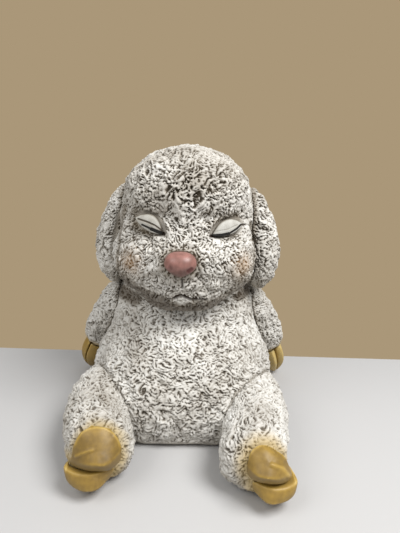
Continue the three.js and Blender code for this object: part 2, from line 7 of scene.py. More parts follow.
import json
import logging
import math
from collections.abc import Sequence
from dataclasses import dataclass, field
from enum import Enum
from functools import cache

import bmesh
import bpy
import numpy as np
from mathutils import Matrix, Vector
from mathutils.bvhtree import BVHTree


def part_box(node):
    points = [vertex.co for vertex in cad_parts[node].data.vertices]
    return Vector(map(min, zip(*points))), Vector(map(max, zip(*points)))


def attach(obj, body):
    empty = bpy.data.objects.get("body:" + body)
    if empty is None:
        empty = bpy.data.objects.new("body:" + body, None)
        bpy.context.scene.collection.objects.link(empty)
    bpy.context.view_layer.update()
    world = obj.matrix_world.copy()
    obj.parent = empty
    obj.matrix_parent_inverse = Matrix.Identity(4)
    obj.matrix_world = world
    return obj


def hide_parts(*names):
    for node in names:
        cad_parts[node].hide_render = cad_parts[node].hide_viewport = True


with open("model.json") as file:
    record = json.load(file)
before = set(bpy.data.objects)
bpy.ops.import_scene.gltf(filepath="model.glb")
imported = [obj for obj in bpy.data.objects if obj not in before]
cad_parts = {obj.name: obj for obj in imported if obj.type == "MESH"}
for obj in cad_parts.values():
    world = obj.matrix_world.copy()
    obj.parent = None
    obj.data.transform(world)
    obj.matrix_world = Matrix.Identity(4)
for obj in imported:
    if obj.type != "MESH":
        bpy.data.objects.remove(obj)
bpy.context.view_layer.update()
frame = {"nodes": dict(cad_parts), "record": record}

MM = 0.001
WELD = 0.002 * MM
BODY = "root"
NEARLY_ZERO = 1e-6
SIDES = ("left", "right")
LOG = logging.getLogger("sheep_statue")

Points = np.ndarray
Pixel = tuple[float, float]


class Coat(Enum):
    """Paint layers that a mesh carries as one number for each vertex."""

    CARVE_AND_LIGHT = "carve"  # 0 in a pit of the wool, 1 on a ridge, and paler where a face looks up, as painted light
    WASH_AND_SHADE = "wash_and_shade"  # brown wash that stays in creases, and painted shade in creases, under overhangs and on faces that look down
    BLUSH = "blush"  # ochre airbrush on the cheeks
    SPRAY = "spray"  # ochre overspray round the hooves
    INK_AND_SHADE = "dark_paint"  # dark line of the lashes, mouth and nostrils, and the darkest painted shade under the jaw
    WEAR_AND_LIGHT = "wear_and_light"  # 0 in a hollow, 1 on a rubbed edge, with a painted highlight on claw ridges and painted light on some claws


class Slot(Enum):
    """Material slots of the record."""

    WOOL = "wool_resin"
    HOOF = "hoof_resin"
    NOSE = "nose_resin"
    LID = "lid_resin"
    RESIN = "plain_resin"
    STEEL = "steel"
    BEECH = "beech"
    FELT = "felt"


# Small tools


def linear(code: str) -> tuple[float, float, float, float]:
    """Turns an sRGB hex colour into linear red, green, blue and alpha."""
    parts = [int(code[i : i + 2], 16) / 255 for i in (1, 3, 5)]
    return (*[c / 12.92 if c <= 0.04045 else ((c + 0.055) / 1.055) ** 2.4 for c in parts], 1.0)


def ramp(values: Points, low: float, high: float) -> Points:
    """Rises smoothly from 0 at low to 1 at high."""
    t = np.clip((values - low) / (high - low), 0, 1)
    return t * t * (3 - 2 * t)


def bell(distance: Points, width: float) -> Points:
    """Falls smoothly from 1 at no distance to almost 0 at twice the width."""
    return np.exp(-((distance / width) ** 2))


def line_distance(points: Points, line: Points) -> Points:
    """Measures how far each point is from a line of straight stretches.

    Args:
        points: One row for each point.
        line: The corners of the line, in order.

    Returns:
        The distance of each point, in the points' unit.
    """
    best = np.full(len(points), np.inf)
    for start, end in zip(line[:-1], line[1:]):
        run = end - start
        along = np.clip((points - start) @ run / (run @ run), 0, 1)
        best = np.minimum(best, np.linalg.norm(points - start - along[:, None] * run, axis=1))
    return best


FITTED: dict[str, bpy.types.Mesh] = {}  # pieces whose shape counts in place of their CAD node's


@cache
def skin(*nodes: str) -> BVHTree:
    """Gathers the surfaces of nodes for ray casts and distances."""
    points: list[Vector] = []
    faces: list[list[int]] = []
    for node in nodes:
        mesh = FITTED.get(node, frame["nodes"][node].data)
        first = len(points)
        points += [v.co.copy() for v in mesh.vertices]
        faces += [[first + i for i in p.vertices] for p in mesh.polygons]
    return BVHTree.FromPolygons(points, faces)


def gap_to(tree: BVHTree, points: Points, reach: float) -> Points:
    """Measures how far points are from a surface.

    Args:
        tree: The surface.
        points: One row for each point, in millimetres.
        reach: The largest distance that matters, in millimetres.

    Returns:
        The distance of each point in millimetres, at most reach.
    """
    found = (tree.find_nearest(Vector(p), reach * MM)[3] for p in points * MM)
    return np.array([reach if d is None else d / MM for d in found])


def rows(items: bpy.types.bpy_prop_collection, name: str) -> Points:
    """Reads the vector of that name from each item of a mesh, one row each."""
    flat = np.empty(3 * len(items), np.float32)
    items.foreach_get(name, flat)
    return flat.reshape(-1, 3).astype(float)


def positions(mesh: bpy.types.Mesh) -> Points:
    """Reads a mesh's vertices in the mesh's own unit, one row each."""
    return rows(mesh.vertices, "co")


def normals(mesh: bpy.types.Mesh) -> Points:
    """Reads a mesh's vertex normals, one row each."""
    return rows(mesh.vertex_normals, "vector")


def reposition(mesh: bpy.types.Mesh, points: Points) -> None:
    """Moves a mesh's vertices to new places, given in millimetres."""
    mesh.vertices.foreach_set("co", (points * MM).astype(np.float32).ravel())
    mesh.update()


def paint(mesh: bpy.types.Mesh, coat: Coat, values: Points) -> None:
    """Stores one paint layer on a mesh, from 0 to 1."""
    layer = mesh.attributes.get(coat.value) or mesh.attributes.new(coat.value, "FLOAT", "POINT")
    layer.data.foreach_set("value", np.clip(values, 0, 1).astype(np.float32))


def cad_solid(node: str) -> bmesh.types.BMesh:
    """Copies a CAD node and merges its loose triangles."""
    solid = bmesh.new()
    solid.from_mesh(frame["nodes"][node].data)
    bmesh.ops.remove_doubles(solid, verts=solid.verts, dist=WELD)
    return solid


def new_object(name: str, solid: bmesh.types.BMesh) -> bpy.types.Object:
    """Makes an object of a bmesh and frees it."""
    mesh = bpy.data.meshes.new(name)
    solid.to_mesh(mesh)
    solid.free()
    made = bpy.data.objects.new(name, mesh)
    bpy.context.scene.collection.objects.link(made)
    return made


def bake_modifiers(piece: bpy.types.Object) -> None:
    """Replaces a piece's mesh by what its modifiers make of it."""
    graph = bpy.context.evaluated_depsgraph_get()
    made = bpy.data.meshes.new_from_object(piece.evaluated_get(graph))
    piece.modifiers.clear()
    rough = piece.data
    piece.data = made
    bpy.data.meshes.remove(rough)


def even_mesh(piece: bpy.types.Object, cell: float, rounding: int) -> None:
    """Gives a piece even faces and rounds its edges.

    Args:
        piece: A closed mesh.
        cell: The size of a face, in millimetres.
        rounding: How many smoothing passes round the edges.
    """
    remesh = piece.modifiers.new("even_faces", "REMESH")
    remesh.mode = "VOXEL"
    remesh.voxel_size = cell * MM
    smooth = piece.modifiers.new("round_edges", "SMOOTH")
    smooth.iterations = rounding
    bake_modifiers(piece)


def hand_over(piece: bpy.types.Object, node: str, finish: "Finish") -> None:
    """Finishes a piece that stands for a CAD node.

    Args:
        piece: The finished mesh object.
        node: The CAD node that it replaces.
        finish: What it is painted with.
    """
    piece.data.materials.clear()
    piece.data.materials.append(finish.material())
    piece.data.shade_smooth()
    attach(piece, BODY)
    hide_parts(node)
    triangles = sum(len(p.vertices) - 2 for p in piece.data.polygons)
    LOG.info("%s stands for %s with %d triangles", piece.name, node, triangles)


# The photograph's view


@dataclass(frozen=True)
class PhotoView:
    """The camera of the photograph, as fitted to the statue's outline."""

    width: int = 400  # pixels
    height: int = 533
    focal: float = 400.0  # pixels
    sensor: float = 36.0  # on the long side
    distance: float = 400.0  # in front of the pivot
    pivot: float = -2.0  # of the pivot along Y
    rise: float = 250.0
    azimuth: float = 0.5  # degrees
    heading: float = -1.5
    pitch: float = 14.0
    roll: float = 2.4

    def place(self) -> Vector:
        """Gives where the camera stands, in metres."""
        angle = math.radians(self.azimuth)
        ground = Vector((math.sin(angle), -math.cos(angle), 0)) * self.distance
        return (ground + Vector((0, self.pivot, self.rise))) * MM

    def turn(self) -> Matrix:
        """Gives how the camera is turned."""
        heading = Matrix.Rotation(math.radians(self.heading), 3, "Z")
        pitch = Matrix.Rotation(math.radians(90 - self.pitch), 3, "X")
        return heading @ pitch @ Matrix.Rotation(math.radians(self.roll), 3, "Z")

    def land(self, pixel: Pixel, surface: BVHTree) -> Points:
        """Finds the point of a surface that a pixel of the photograph shows.

        Args:
            pixel: Its column and row in the photograph.
            surface: Where to look.

        Returns:
            The point, in millimetres.
        """
        aside = (pixel[0] - self.width / 2) / self.focal
        below = (pixel[1] - self.height / 2) / self.focal
        towards = self.turn() @ Vector((aside, -below, -1))
        hit = surface.ray_cast(self.place(), towards.normalized())[0]
        if hit is None:
            raise ValueError(f"no surface at pixel {pixel}")
        return np.array(hit) / MM

    def project(self, points: Points) -> Points:
        """Gives the column and row of the photograph at which points in millimetres show."""
        seen = (points - np.array(self.place()) / MM) @ np.array(self.turn())
        flat = self.focal * seen[:, :2] / -seen[:, 2:]
        return np.array((self.width, self.height)) / 2 + flat * (1, -1)

    def shift(self, points: Points, pixels: Points) -> Points:
        """Moves points in millimetres across the picture, by columns and rows."""
        turn = np.array(self.turn())
        deep = (np.array(self.place()) / MM - points) @ turn[:, 2]
        flat = pixels * (1, -1) * deep[:, None] / self.focal
        return points + flat @ turn[:, :2].T

    def camera(self) -> None:
        """Adds the camera to the scene."""
        lens = bpy.data.cameras.new("photo_camera")
        lens.sensor_width = self.sensor
        lens.lens = self.sensor * self.focal / max(self.width, self.height)
        camera = bpy.data.objects.new("photo_camera", lens)
        camera.matrix_world = Matrix.Translation(self.place()) @ self.turn().to_4x4()
        bpy.context.scene.collection.objects.link(camera)
        bpy.context.scene.camera = camera


VIEW = PhotoView()


@dataclass(frozen=True)
class Spot:
    """A round place on the statue, found by a pixel of the photograph."""

    pixel: Pixel
    spread: float
    weight: float = 1.0

    def share(self, points: Points, surface: BVHTree) -> Points:
        """Gives how much of the spot lies at points in millimetres, falling off round its middle."""
        middle = VIEW.land(self.pixel, surface)
        return self.weight * bell(np.linalg.norm(points - middle, axis=1), self.spread)


@dataclass(frozen=True)
class PixelLine:
    """A line drawn or cut on the statue, found by pixels of the photograph."""

    corners: tuple[Pixel, ...]
    width: float = 0.9  # half of it, in pixels
    softness: float = 0.5

    def share(self, points: Points) -> Points:
        """Gives 1 at points in millimetres that show on the line and 0 beside it."""
        away = line_distance(VIEW.project(points), np.array(self.corners))
        return 1 - ramp(away, self.width - self.softness, self.width + self.softness)


def on_lines(lines: Sequence[PixelLine], points: Points) -> Points:
    """Adds up the shares of several lines at points in millimetres, to 1 at most."""
    return np.clip(sum((line.share(points) for line in lines), np.zeros(len(points))), 0, 1)


# Finishes

MIX_SHARE, MIX_BELOW, MIX_ABOVE, MIX_RESULT = 0, 6, 7, 2  # sockets of a Mix node that blends colours


def add(
    tree: bpy.types.NodeTree,
    kind: str,
    inputs: dict[str | int, object] | None = None,
    stops: dict[float, str] | None = None,
    **settings: object,
) -> bpy.types.Node:
    """Adds a node with its settings and links.

    Args:
        tree: The material's node tree.
        kind: The node's type.
        inputs: Values or other nodes' outputs, by the name or the number of the input.
        stops: Colours of a colour ramp, by their places on it.
        settings: The node's own properties.

    Returns:
        The new node.
    """
    node = tree.nodes.new(kind)
    for name, value in settings.items():
        setattr(node, name, value)
    for name, value in (inputs or {}).items():
        if isinstance(value, bpy.types.NodeSocket):
            tree.links.new(value, node.inputs[name])
        else:
            node.inputs[name].default_value = value
    if stops:
        bar = node.color_ramp.elements
        while len(bar) < len(stops):
            bar.new(0.5)
        for element, (place, code) in zip(bar, stops.items()):
            element.position = place
            element.color = linear(code)
    return node


@dataclass(frozen=True)
class Flecks:
    """An uneven pattern in a paint film or a material."""

    size: float  # of one fleck
    weight: float  # in the tone
    detail: float = 2.0


@dataclass(frozen=True)
class Layer:
    """A colour laid over the film where a piece carries a coat."""

    coat: Coat
    colour: str
    strength: float = 1.0


@dataclass(frozen=True)
class Finish:
    """A surface finish: coats and flecks add up to a tone, which sets the colour and the shine."""

    name: str
    stops: dict[float, str]  # colour at each tone
    roughness: float  # of the palest tone
    flecks: tuple[Flecks, ...]
    grit: float  # size of the surface's grain
    grit_depth: float
    start: float = 0.0  # of the tone
    coats: tuple[tuple[Coat, float], ...] = ()  # with their weights in the tone
    layers: tuple[Layer, ...] = ()
    dulling: float = 0.1  # how much rougher the darkest tone is
    grit_strength: float = 0.6
    metallic: float = 0.0

    def material(self) -> bpy.types.Material:
        """Gives the finish's material, which is made once."""
        known = bpy.data.materials.get(self.name)
        if known:
            return known
        made = bpy.data.materials.new(self.name)
        made.use_nodes = True
        tree = made.node_tree
        shader = tree.nodes["Principled BSDF"]
        shader.inputs["Metallic"].default_value = self.metallic
        for name, socket in self.dress(tree).items():
            tree.links.new(socket, shader.inputs[name])
        return made

    def dress(self, tree: bpy.types.NodeTree) -> dict[str, bpy.types.NodeSocket]:
        """Makes the finish's nodes.

        Args:
            tree: The material's node tree.

        Returns:
            What goes into the shader, by the name of its input.
        """
        place = add(tree, "ShaderNodeTexCoord").outputs["Object"]
        weighted: list[tuple[bpy.types.Node, float]] = []
        for coat, weight in self.coats:
            weighted.append((add(tree, "ShaderNodeAttribute", attribute_name=coat.value), weight))
        for fleck in self.flecks:
            inputs = {"Vector": place, "Scale": 1 / (fleck.size * MM), "Detail": fleck.detail}
            weighted.append((add(tree, "ShaderNodeTexNoise", inputs), fleck.weight))
        tone: object = self.start
        for node, weight in weighted:
            inputs = {0: node.outputs["Fac"], 1: weight, 2: tone}
            tone = add(tree, "ShaderNodeMath", inputs, operation="MULTIPLY_ADD").outputs[0]
        colour = add(tree, "ShaderNodeValToRGB", {"Fac": tone}, self.stops).outputs["Color"]
        for layer in self.layers:
            cover = add(tree, "ShaderNodeAttribute", attribute_name=layer.coat.value).outputs["Fac"]
            inputs = {0: cover, 1: layer.strength}
            share = add(tree, "ShaderNodeMath", inputs, operation="MULTIPLY").outputs[0]
            inputs = {MIX_SHARE: share, MIX_BELOW: colour, MIX_ABOVE: linear(layer.colour)}
            colour = add(tree, "ShaderNodeMix", inputs, data_type="RGBA").outputs[MIX_RESULT]
        inputs = {"Value": tone, "To Min": self.roughness + self.dulling, "To Max": self.roughness}
        roughness = add(tree, "ShaderNodeMapRange", inputs).outputs["Result"]
        inputs = {"Vector": place, "Scale": 1 / (self.grit * MM)}
        grain = add(tree, "ShaderNodeTexNoise", inputs).outputs["Fac"]
        inputs = {"Height": grain, "Distance": self.grit_depth * MM, "Strength": self.grit_strength}
        normal = add(tree, "ShaderNodeBump", inputs).outputs["Normal"]
        return {"Base Color": colour, "Roughness": roughness, "Normal": normal}


# Ivory acrylic dry-brushed over an umber wash: the ridges look chalky and the pits stay dark.
# Faces that look up are painted paler, as painted light from above, and painted shade darkens creases,
# undersides and the jaw.
CARVED_WOOL = Finish(
    name="dry_brushed_ivory_resin",
    stops={0.0: "#4b453c", 0.2: "#837c72", 0.42: "#b7b2a9", 0.65: "#d9d6cf", 0.95: "#f1f0ec"},
    roughness=0.8,
    start=-0.12,
    coats=((Coat.CARVE_AND_LIGHT, 0.9), (Coat.WASH_AND_SHADE, -0.34)),
    flecks=(Flecks(1.6, 0.26), Flecks(22.0, 0.24)),
    layers=(
        # Brown of the wash and of the painted shade.
        Layer(Coat.WASH_AND_SHADE, "#5f5035", 0.42),
        Layer(Coat.BLUSH, "#a4783a", 0.85),
        Layer(Coat.SPRAY, "#b89c55", 0.8),
        # Dark brown of the drawn lines and of the darkest painted shade.
        Layer(Coat.INK_AND_SHADE, "#2a1a09"),
    ),
    grit=0.5,
    grit_depth=0.12,
)

# Ochre enamel sprayed thinly on smooth resin: a soft shine, paler where it is rubbed, grey-brown below.
# The grey-brown below is painted shade on faces that look down, and the ridges carry a painted highlight.
HOOF_ENAMEL = Finish(
    name="ochre_enamel",
    stops={0.05: "#564320", 0.3: "#836931", 0.52: "#a4853d", 0.75: "#bea056", 1.0: "#ddc98f"},
    roughness=0.42,
    start=-0.2,
    coats=((Coat.WEAR_AND_LIGHT, 0.8), (Coat.WASH_AND_SHADE, -0.1)),
    flecks=(Flecks(16.0, 0.4, 3.0), Flecks(3.0, 0.2)),
    # grey-brown painted shade on faces that look down, then the dark groove
    layers=(Layer(Coat.WASH_AND_SHADE, "#866f3c", 0.55), Layer(Coat.INK_AND_SHADE, "#3d2f14", 0.8)),
    grit=2.2,
    grit_depth=0.08,
)

# Dusty rose enamel on smooth resin, with a satin shine, and darker in the nostrils.
NOSE_ENAMEL = Finish(
    name="rose_enamel",
    stops={0.1: "#523a32", 0.3: "#70514a", 0.5: "#876058", 0.72: "#9e7068"},
    roughness=0.34,
    start=0.05,
    coats=((Coat.WASH_AND_SHADE, -0.3),),
    flecks=(Flecks(7.0, 1.0, 4.0),),
    layers=(Layer(Coat.INK_AND_SHADE, "#4f1c16"),),
    grit=1.4,
    grit_depth=0.06,
)

# Smooth ivory acrylic with a dark brushed lash line, a thin brown wash and painted shade in its crease, and
# painted shade round its upper edge.
LID_PAINT = Finish(
    name="smooth_ivory_acrylic",
    stops={0.0: "#453d33", 0.3: "#7d766a", 0.55: "#a6a39a", 0.8: "#c1bfb8"},
    roughness=0.5,
    start=0.45,
    coats=((Coat.WASH_AND_SHADE, -0.75),),
    flecks=(Flecks(6.0, 0.45),),
    layers=(Layer(Coat.INK_AND_SHADE, "#060403"),),
    grit=0.9,
    grit_depth=0.05,
)

HIDDEN_FINISHES = {
    # Uncoated casting resin, dull and slightly cloudy.
    Slot.RESIN: Finish(
        name="raw_cast_resin",
        stops={0.3: "#b7b1a2", 0.7: "#cec9bb"},
        roughness=0.75,
        flecks=(Flecks(5.0, 1.0, 4.0),),
        grit=2.0,
        grit_depth=0.05,
    ),
    # Bright drawn rod with fine marks.
    Slot.STEEL: Finish(
        name="drawn_steel",
        stops={0.3: "#8d8f92", 0.7: "#a8aaac"},
        roughness=0.35,
        flecks=(Flecks(1.0, 1.0, 4.0),),
        grit=1.0,
        grit_depth=0.02,
        metallic=1.0,
    ),
    # Pale turned wood with small pores.
    Slot.BEECH: Finish(
        name="turned_beech",
        stops={0.3: "#b3905e", 0.7: "#d3b285"},
        roughness=0.6,
        flecks=(Flecks(3.0, 1.0, 4.0),),
        grit=1.5,
        grit_depth=0.05,
    ),
    # Dense grey-green felt without any shine.
    Slot.FELT: Finish(
        name="pressed_wool_felt",
        stops={0.3: "#3d413a", 0.7: "#595e54"},
        roughness=0.9,
        flecks=(Flecks(1.2, 1.0, 4.0),),
        grit=1.2,
        grit_depth=0.3,
    ),
}


# Smooth pieces


@dataclass
class Claw:
    """One claw of a hoof, smooth and painted, with a bead where it leaves the wool."""

    node: str
    leg: str
    ridge: tuple[PixelLine, ...] = ()  # raised lines on the claw's front
    outline: tuple[Pixel, ...] = ()  # as the photograph shows it
    cell: float = 0.85
    rounding: int = 20
    reach: float = 14.0  # within which the leg matters
    sectors: int = 48  # in which the outline is fitted
    blending: int = 2  # how many sectors on either side are evened out
    ridge_rise: float = 1.1
    ridge_highlight: float = 0.28
    bead_at: float = 0.93  # share of the way out to the outline
    bead_width: float = 0.035
    bead_rise: float = 0.7
    bead_fade: float = 0.4  # sine of the angle above the middle at which the bead has its full height
    groove_at: float = 1.2  # from the leg
    groove_width: float = 0.9
    groove_depth: float = 0.4
    wear_and_light: float = 0.5  # of a flat stretch, raised on the left fore claws as painted light
    edge_wear: float = 2.2  # for each unit of turn
    bead_wear: float = 0.4
    darkening_from: float = -0.6  # how far down a face looks where the painted shade begins
    darkening_to: float = 0.5
    finish: Finish = HOOF_ENAMEL

    def build(self) -> bpy.types.Object:
        """Makes and hands over the claw."""
        piece = new_object(f"{self.node}_painted", cad_solid(self.node))
        even_mesh(piece, self.cell, self.rounding)
        mesh = piece.data
        points = positions(mesh) / MM
        turn = self.turn(mesh, points, normals(mesh))
        bead = np.zeros(len(points))
        if self.outline:
            points, bead = self.fitted(points)
        reposition(mesh, points)
        outwards = normals(mesh)
        ridge = on_lines(self.ridge, points) * (outwards[:, 1] < 0)
        gap = gap_to(skin(self.leg), points, self.reach)
        groove = bell(np.clip(gap - self.groove_at, 0, None), self.groove_width)
        lift = self.bead_rise * bead + self.ridge_rise * ridge - self.groove_depth * groove
        moved = points + lift[:, None] * outwards
        moved[:, 2] = np.maximum(moved[:, 2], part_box(self.node)[0].z / MM)
        reposition(mesh, moved)
        FITTED[self.node] = mesh
        # Rubbed edges and the bead are paler, and the ridges get a painted highlight.
        rubbed = self.edge_wear * turn + self.bead_wear * bead + self.ridge_highlight * ridge
        paint(mesh, Coat.WEAR_AND_LIGHT, self.wear_and_light + rubbed)
        # Faces that look down get painted shade, except on the ridges.
        paint(mesh, Coat.WASH_AND_SHADE, ramp(-outwards[:, 2], self.darkening_from, self.darkening_to) * (1 - ridge))
        paint(mesh, Coat.INK_AND_SHADE, groove * (1 - bead))
        hand_over(piece, self.node, self.finish)
        return piece

    def in_view(self, points: Points) -> np.ndarray:
        """Tells which points in millimetres the leg doesn't hide from the photograph's camera."""
        eye = VIEW.place()
        rays = [Vector(point) - eye for point in points * MM]
        hits = [skin(self.leg).ray_cast(eye, ray.normalized(), ray.length)[0] for ray in rays]
        return np.array([hit is None for hit in hits])

    def fitted(self, points: Points) -> tuple[Points, Points]:
        """Widens or narrows the claw across the picture until it fills its outline there.

        Args:
            points: Its vertices, in millimetres.

        Returns:
            The moved vertices, and a share that is 1 on the bead along the outline's upper side.
        """
        corners = np.array(self.outline)
        middle = VIEW.project(points).mean(axis=0)
        fractions = np.linspace(0, 1, self.sectors)[:, None, None]
        drawn = (corners[:-1] + fractions * (corners[1:] - corners[:-1])).reshape(-1, 2) - middle
        bounds = np.linspace(-np.pi, np.pi, self.sectors + 1)
        seen = VIEW.project(points) - middle
        clear = self.in_view(points)
        angle, drawn_angle = (np.arctan2(away[:, 1], away[:, 0]) for away in (seen, drawn))
        radius, drawn_radius = (np.hypot(away[:, 0], away[:, 1]) for away in (seen, drawn))
        sector, drawn_sector = (np.digitize(each, bounds) - 1 for each in (angle, drawn_angle))
        wanted = np.ones(self.sectors)
        edge = np.full(self.sectors, np.inf)
        for number in range(self.sectors):
            reach = radius[clear & (sector == number)].max(initial=0)
            edge[number] = drawn_radius[drawn_sector == number].max(initial=0) or reach or np.inf
            if reach and edge[number] < np.inf:
                wanted[number] = edge[number] / reach
        turns = range(-self.blending, self.blending + 1)
        wanted = sum(np.roll(wanted, turn) for turn in turns) / len(turns)
        centre = (bounds[1:] + bounds[:-1]) / 2
        scale = np.interp(angle, centre, wanted, period=2 * np.pi)
        size = radius * scale / edge[np.clip(sector, 0, self.sectors - 1)]
        bead = bell(size - self.bead_at, self.bead_width) * ramp(-np.sin(angle), 0, self.bead_fade) * clear
        return VIEW.shift(points, seen * (scale - 1)[:, None]), bead

    def turn(self, mesh: bpy.types.Mesh, points: Points, outwards: Points) -> Points:
        """Measures how sharply the surface turns outwards, from the lean of its edges.

        Args:
            mesh: The claw's mesh.
            points: Its vertices, in millimetres.
            outwards: Its vertex normals.

        Returns:
            The turn at each vertex, which is 0 where most of the surface is.
        """
        pairs = np.empty(2 * len(mesh.edges), np.int32)
        mesh.edges.foreach_get("vertices", pairs)
        first, second = pairs.reshape(-1, 2).T
        runs = points[second] - points[first]
        lean = np.einsum("ij,ij->i", runs, outwards[second] - outwards[first]) / np.linalg.norm(runs, axis=1)
        total = np.zeros(len(points))
        count = np.zeros(len(points))
        for end in (first, second):
            np.add.at(total, end, lean)
            np.add.at(count, end, 1)
        return total / count - np.median(total / count)


@dataclass
class Eyelid:
    """A closed lid: a smooth almond with a lash line under it and a crease above its rim."""

    side: str
    inner: Pixel
    outer: Pixel
    lash: tuple[PixelLine, ...]  # dark line under the lid
    crease: PixelLine  # above the lash
    above: float = 10.0  # from the line between the corners up to the top of the lid
    below: float = 3.2
    bulge: float = 4.6
    proud: float = 1.2  # how far the corners' line stands in front of the face
    overlap: float = 1.04  # share by which the lid is longer than its corners are apart
    top_fullness: float = 2.0  # power of the upper edge's curve
    bulge_fullness: float = 0.6
    rim_squareness: float = 4.0  # even, where 2 is round
    crease_depth: float = 0.6
    lash_depth: float = 0.5
    shade: float = 0.0  # of the painted shade all over the lid
    upper_edge_shade: float = 0.6  # of the painted shade round the lid's upper edge
    crease_wash_and_shade: float = 0.9
    paint_from: float = -0.2  # how far forward the surface is, as a share, where the lines begin
    paint_to: float = 0.1
    edge_to: float = 0.5  # where the painted shade round the upper edge ends
    socket_floor: float = 2.0  # behind the line between the corners
    socket_lip: float = 1.35  # how far the smooth socket reaches, as a multiple of the lid's size
    socket_lip_below: float = 1.2
    socket_back: float = 4.0  # bulges behind the lid, where the socket ends
    socket_full: float = 2.0
    fineness: int = 6
    finish: Finish = LID_PAINT

    def axes(self) -> tuple[Points, Points, Points, Points, float]:
        """Gives the lid's middle, its way across, out and up, and half its length, in millimetres."""
        face = skin("head", f"{self.side}_eyelid")
        inner = VIEW.land(self.inner, face)
        outer = VIEW.land(self.outer, face)
        across = (outer - inner) / np.linalg.norm(outer - inner)
        low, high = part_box("head")
        out = (inner + outer) / 2 - np.array(low + high) / 2 / MM
        out -= (out @ across) * across
        out /= np.linalg.norm(out)
        up = np.cross(out, across)
        up *= np.sign(up[2])
        middle = (inner + outer) / 2 + self.proud * out
        return middle, across, out, up, self.overlap * np.linalg.norm(outer - inner) / 2

    def socket(self, points: Points) -> tuple[Points, Points]:
        """Shapes the socket that the lid lies in.

        Args:
            points: Vertices of the head, in millimetres.

        Returns:
            How far each goes back in millimetres, and a share that is 1 in the socket and 0 beyond it.
        """
        middle, across, out, up, half = self.axes()
        along, front, rise = ((points - middle) @ way for way in (across, out, up))
        tall = np.where(rise > 0, self.above, self.below)
        size = np.hypot(along / half, rise / tall)
        lip = np.where(rise > 0, self.socket_lip, self.socket_lip_below)
        near = 1 - ramp(size / lip, 1.0 / self.socket_lip, 1.0)
        near *= ramp(front, -self.socket_back * self.bulge, -self.socket_full * self.bulge)
        return near * np.clip(front + self.socket_floor, 0, None), near

    def build(self) -> bpy.types.Object:
        """Makes and hands over the lid."""
        node = f"{self.side}_eyelid"
        almond = bmesh.new()
        bmesh.ops.create_icosphere(almond, subdivisions=self.fineness, radius=1)
        piece = new_object(f"{node}_closed", almond)
        mesh = piece.data
        unit = positions(mesh)
        along = unit[:, 0]
        arch = np.clip(1 - along**2, NEARLY_ZERO, 1)
        rise, front = unit[:, 2] / np.sqrt(arch), unit[:, 1] / np.sqrt(arch)
        top = self.above * np.clip(1 - np.abs(along) ** self.top_fullness, 0, 1)
        height = np.where(rise > 0, rise * top, rise * self.below * arch)
        full = np.where(rise > 0, np.abs(front), np.sqrt(np.clip(1 - rise**self.rim_squareness, 0, 1)))
        depth = self.bulge * arch**self.bulge_fullness * np.sign(front) * full

        middle, across, out, up, half = self.axes()
        place = middle + np.outer(along * half, across) + np.outer(depth, out) + np.outer(height, up)
        before = ramp(front, self.paint_from, self.paint_to)
        lash = np.max([line.share(place) for line in self.lash], axis=0) * before
        crease = self.crease.share(place) * before
        place -= np.outer(self.crease_depth * crease + self.lash_depth * lash, out)
        reposition(mesh, place)
        if np.dot(np.cross(across, out), up) < 0:
            mesh.flip_normals()
        paint(mesh, Coat.INK_AND_SHADE, lash)
        # Painted shade all over the lid and round its upper edge, and wash and painted shade in its crease.
        edge = self.upper_edge_shade * (1 - ramp(front, self.paint_to, self.edge_to)) * (rise > 0)
        paint(mesh, Coat.WASH_AND_SHADE, self.shade + self.crease_wash_and_shade * crease + edge)
        hand_over(piece, node, self.finish)
        return piece


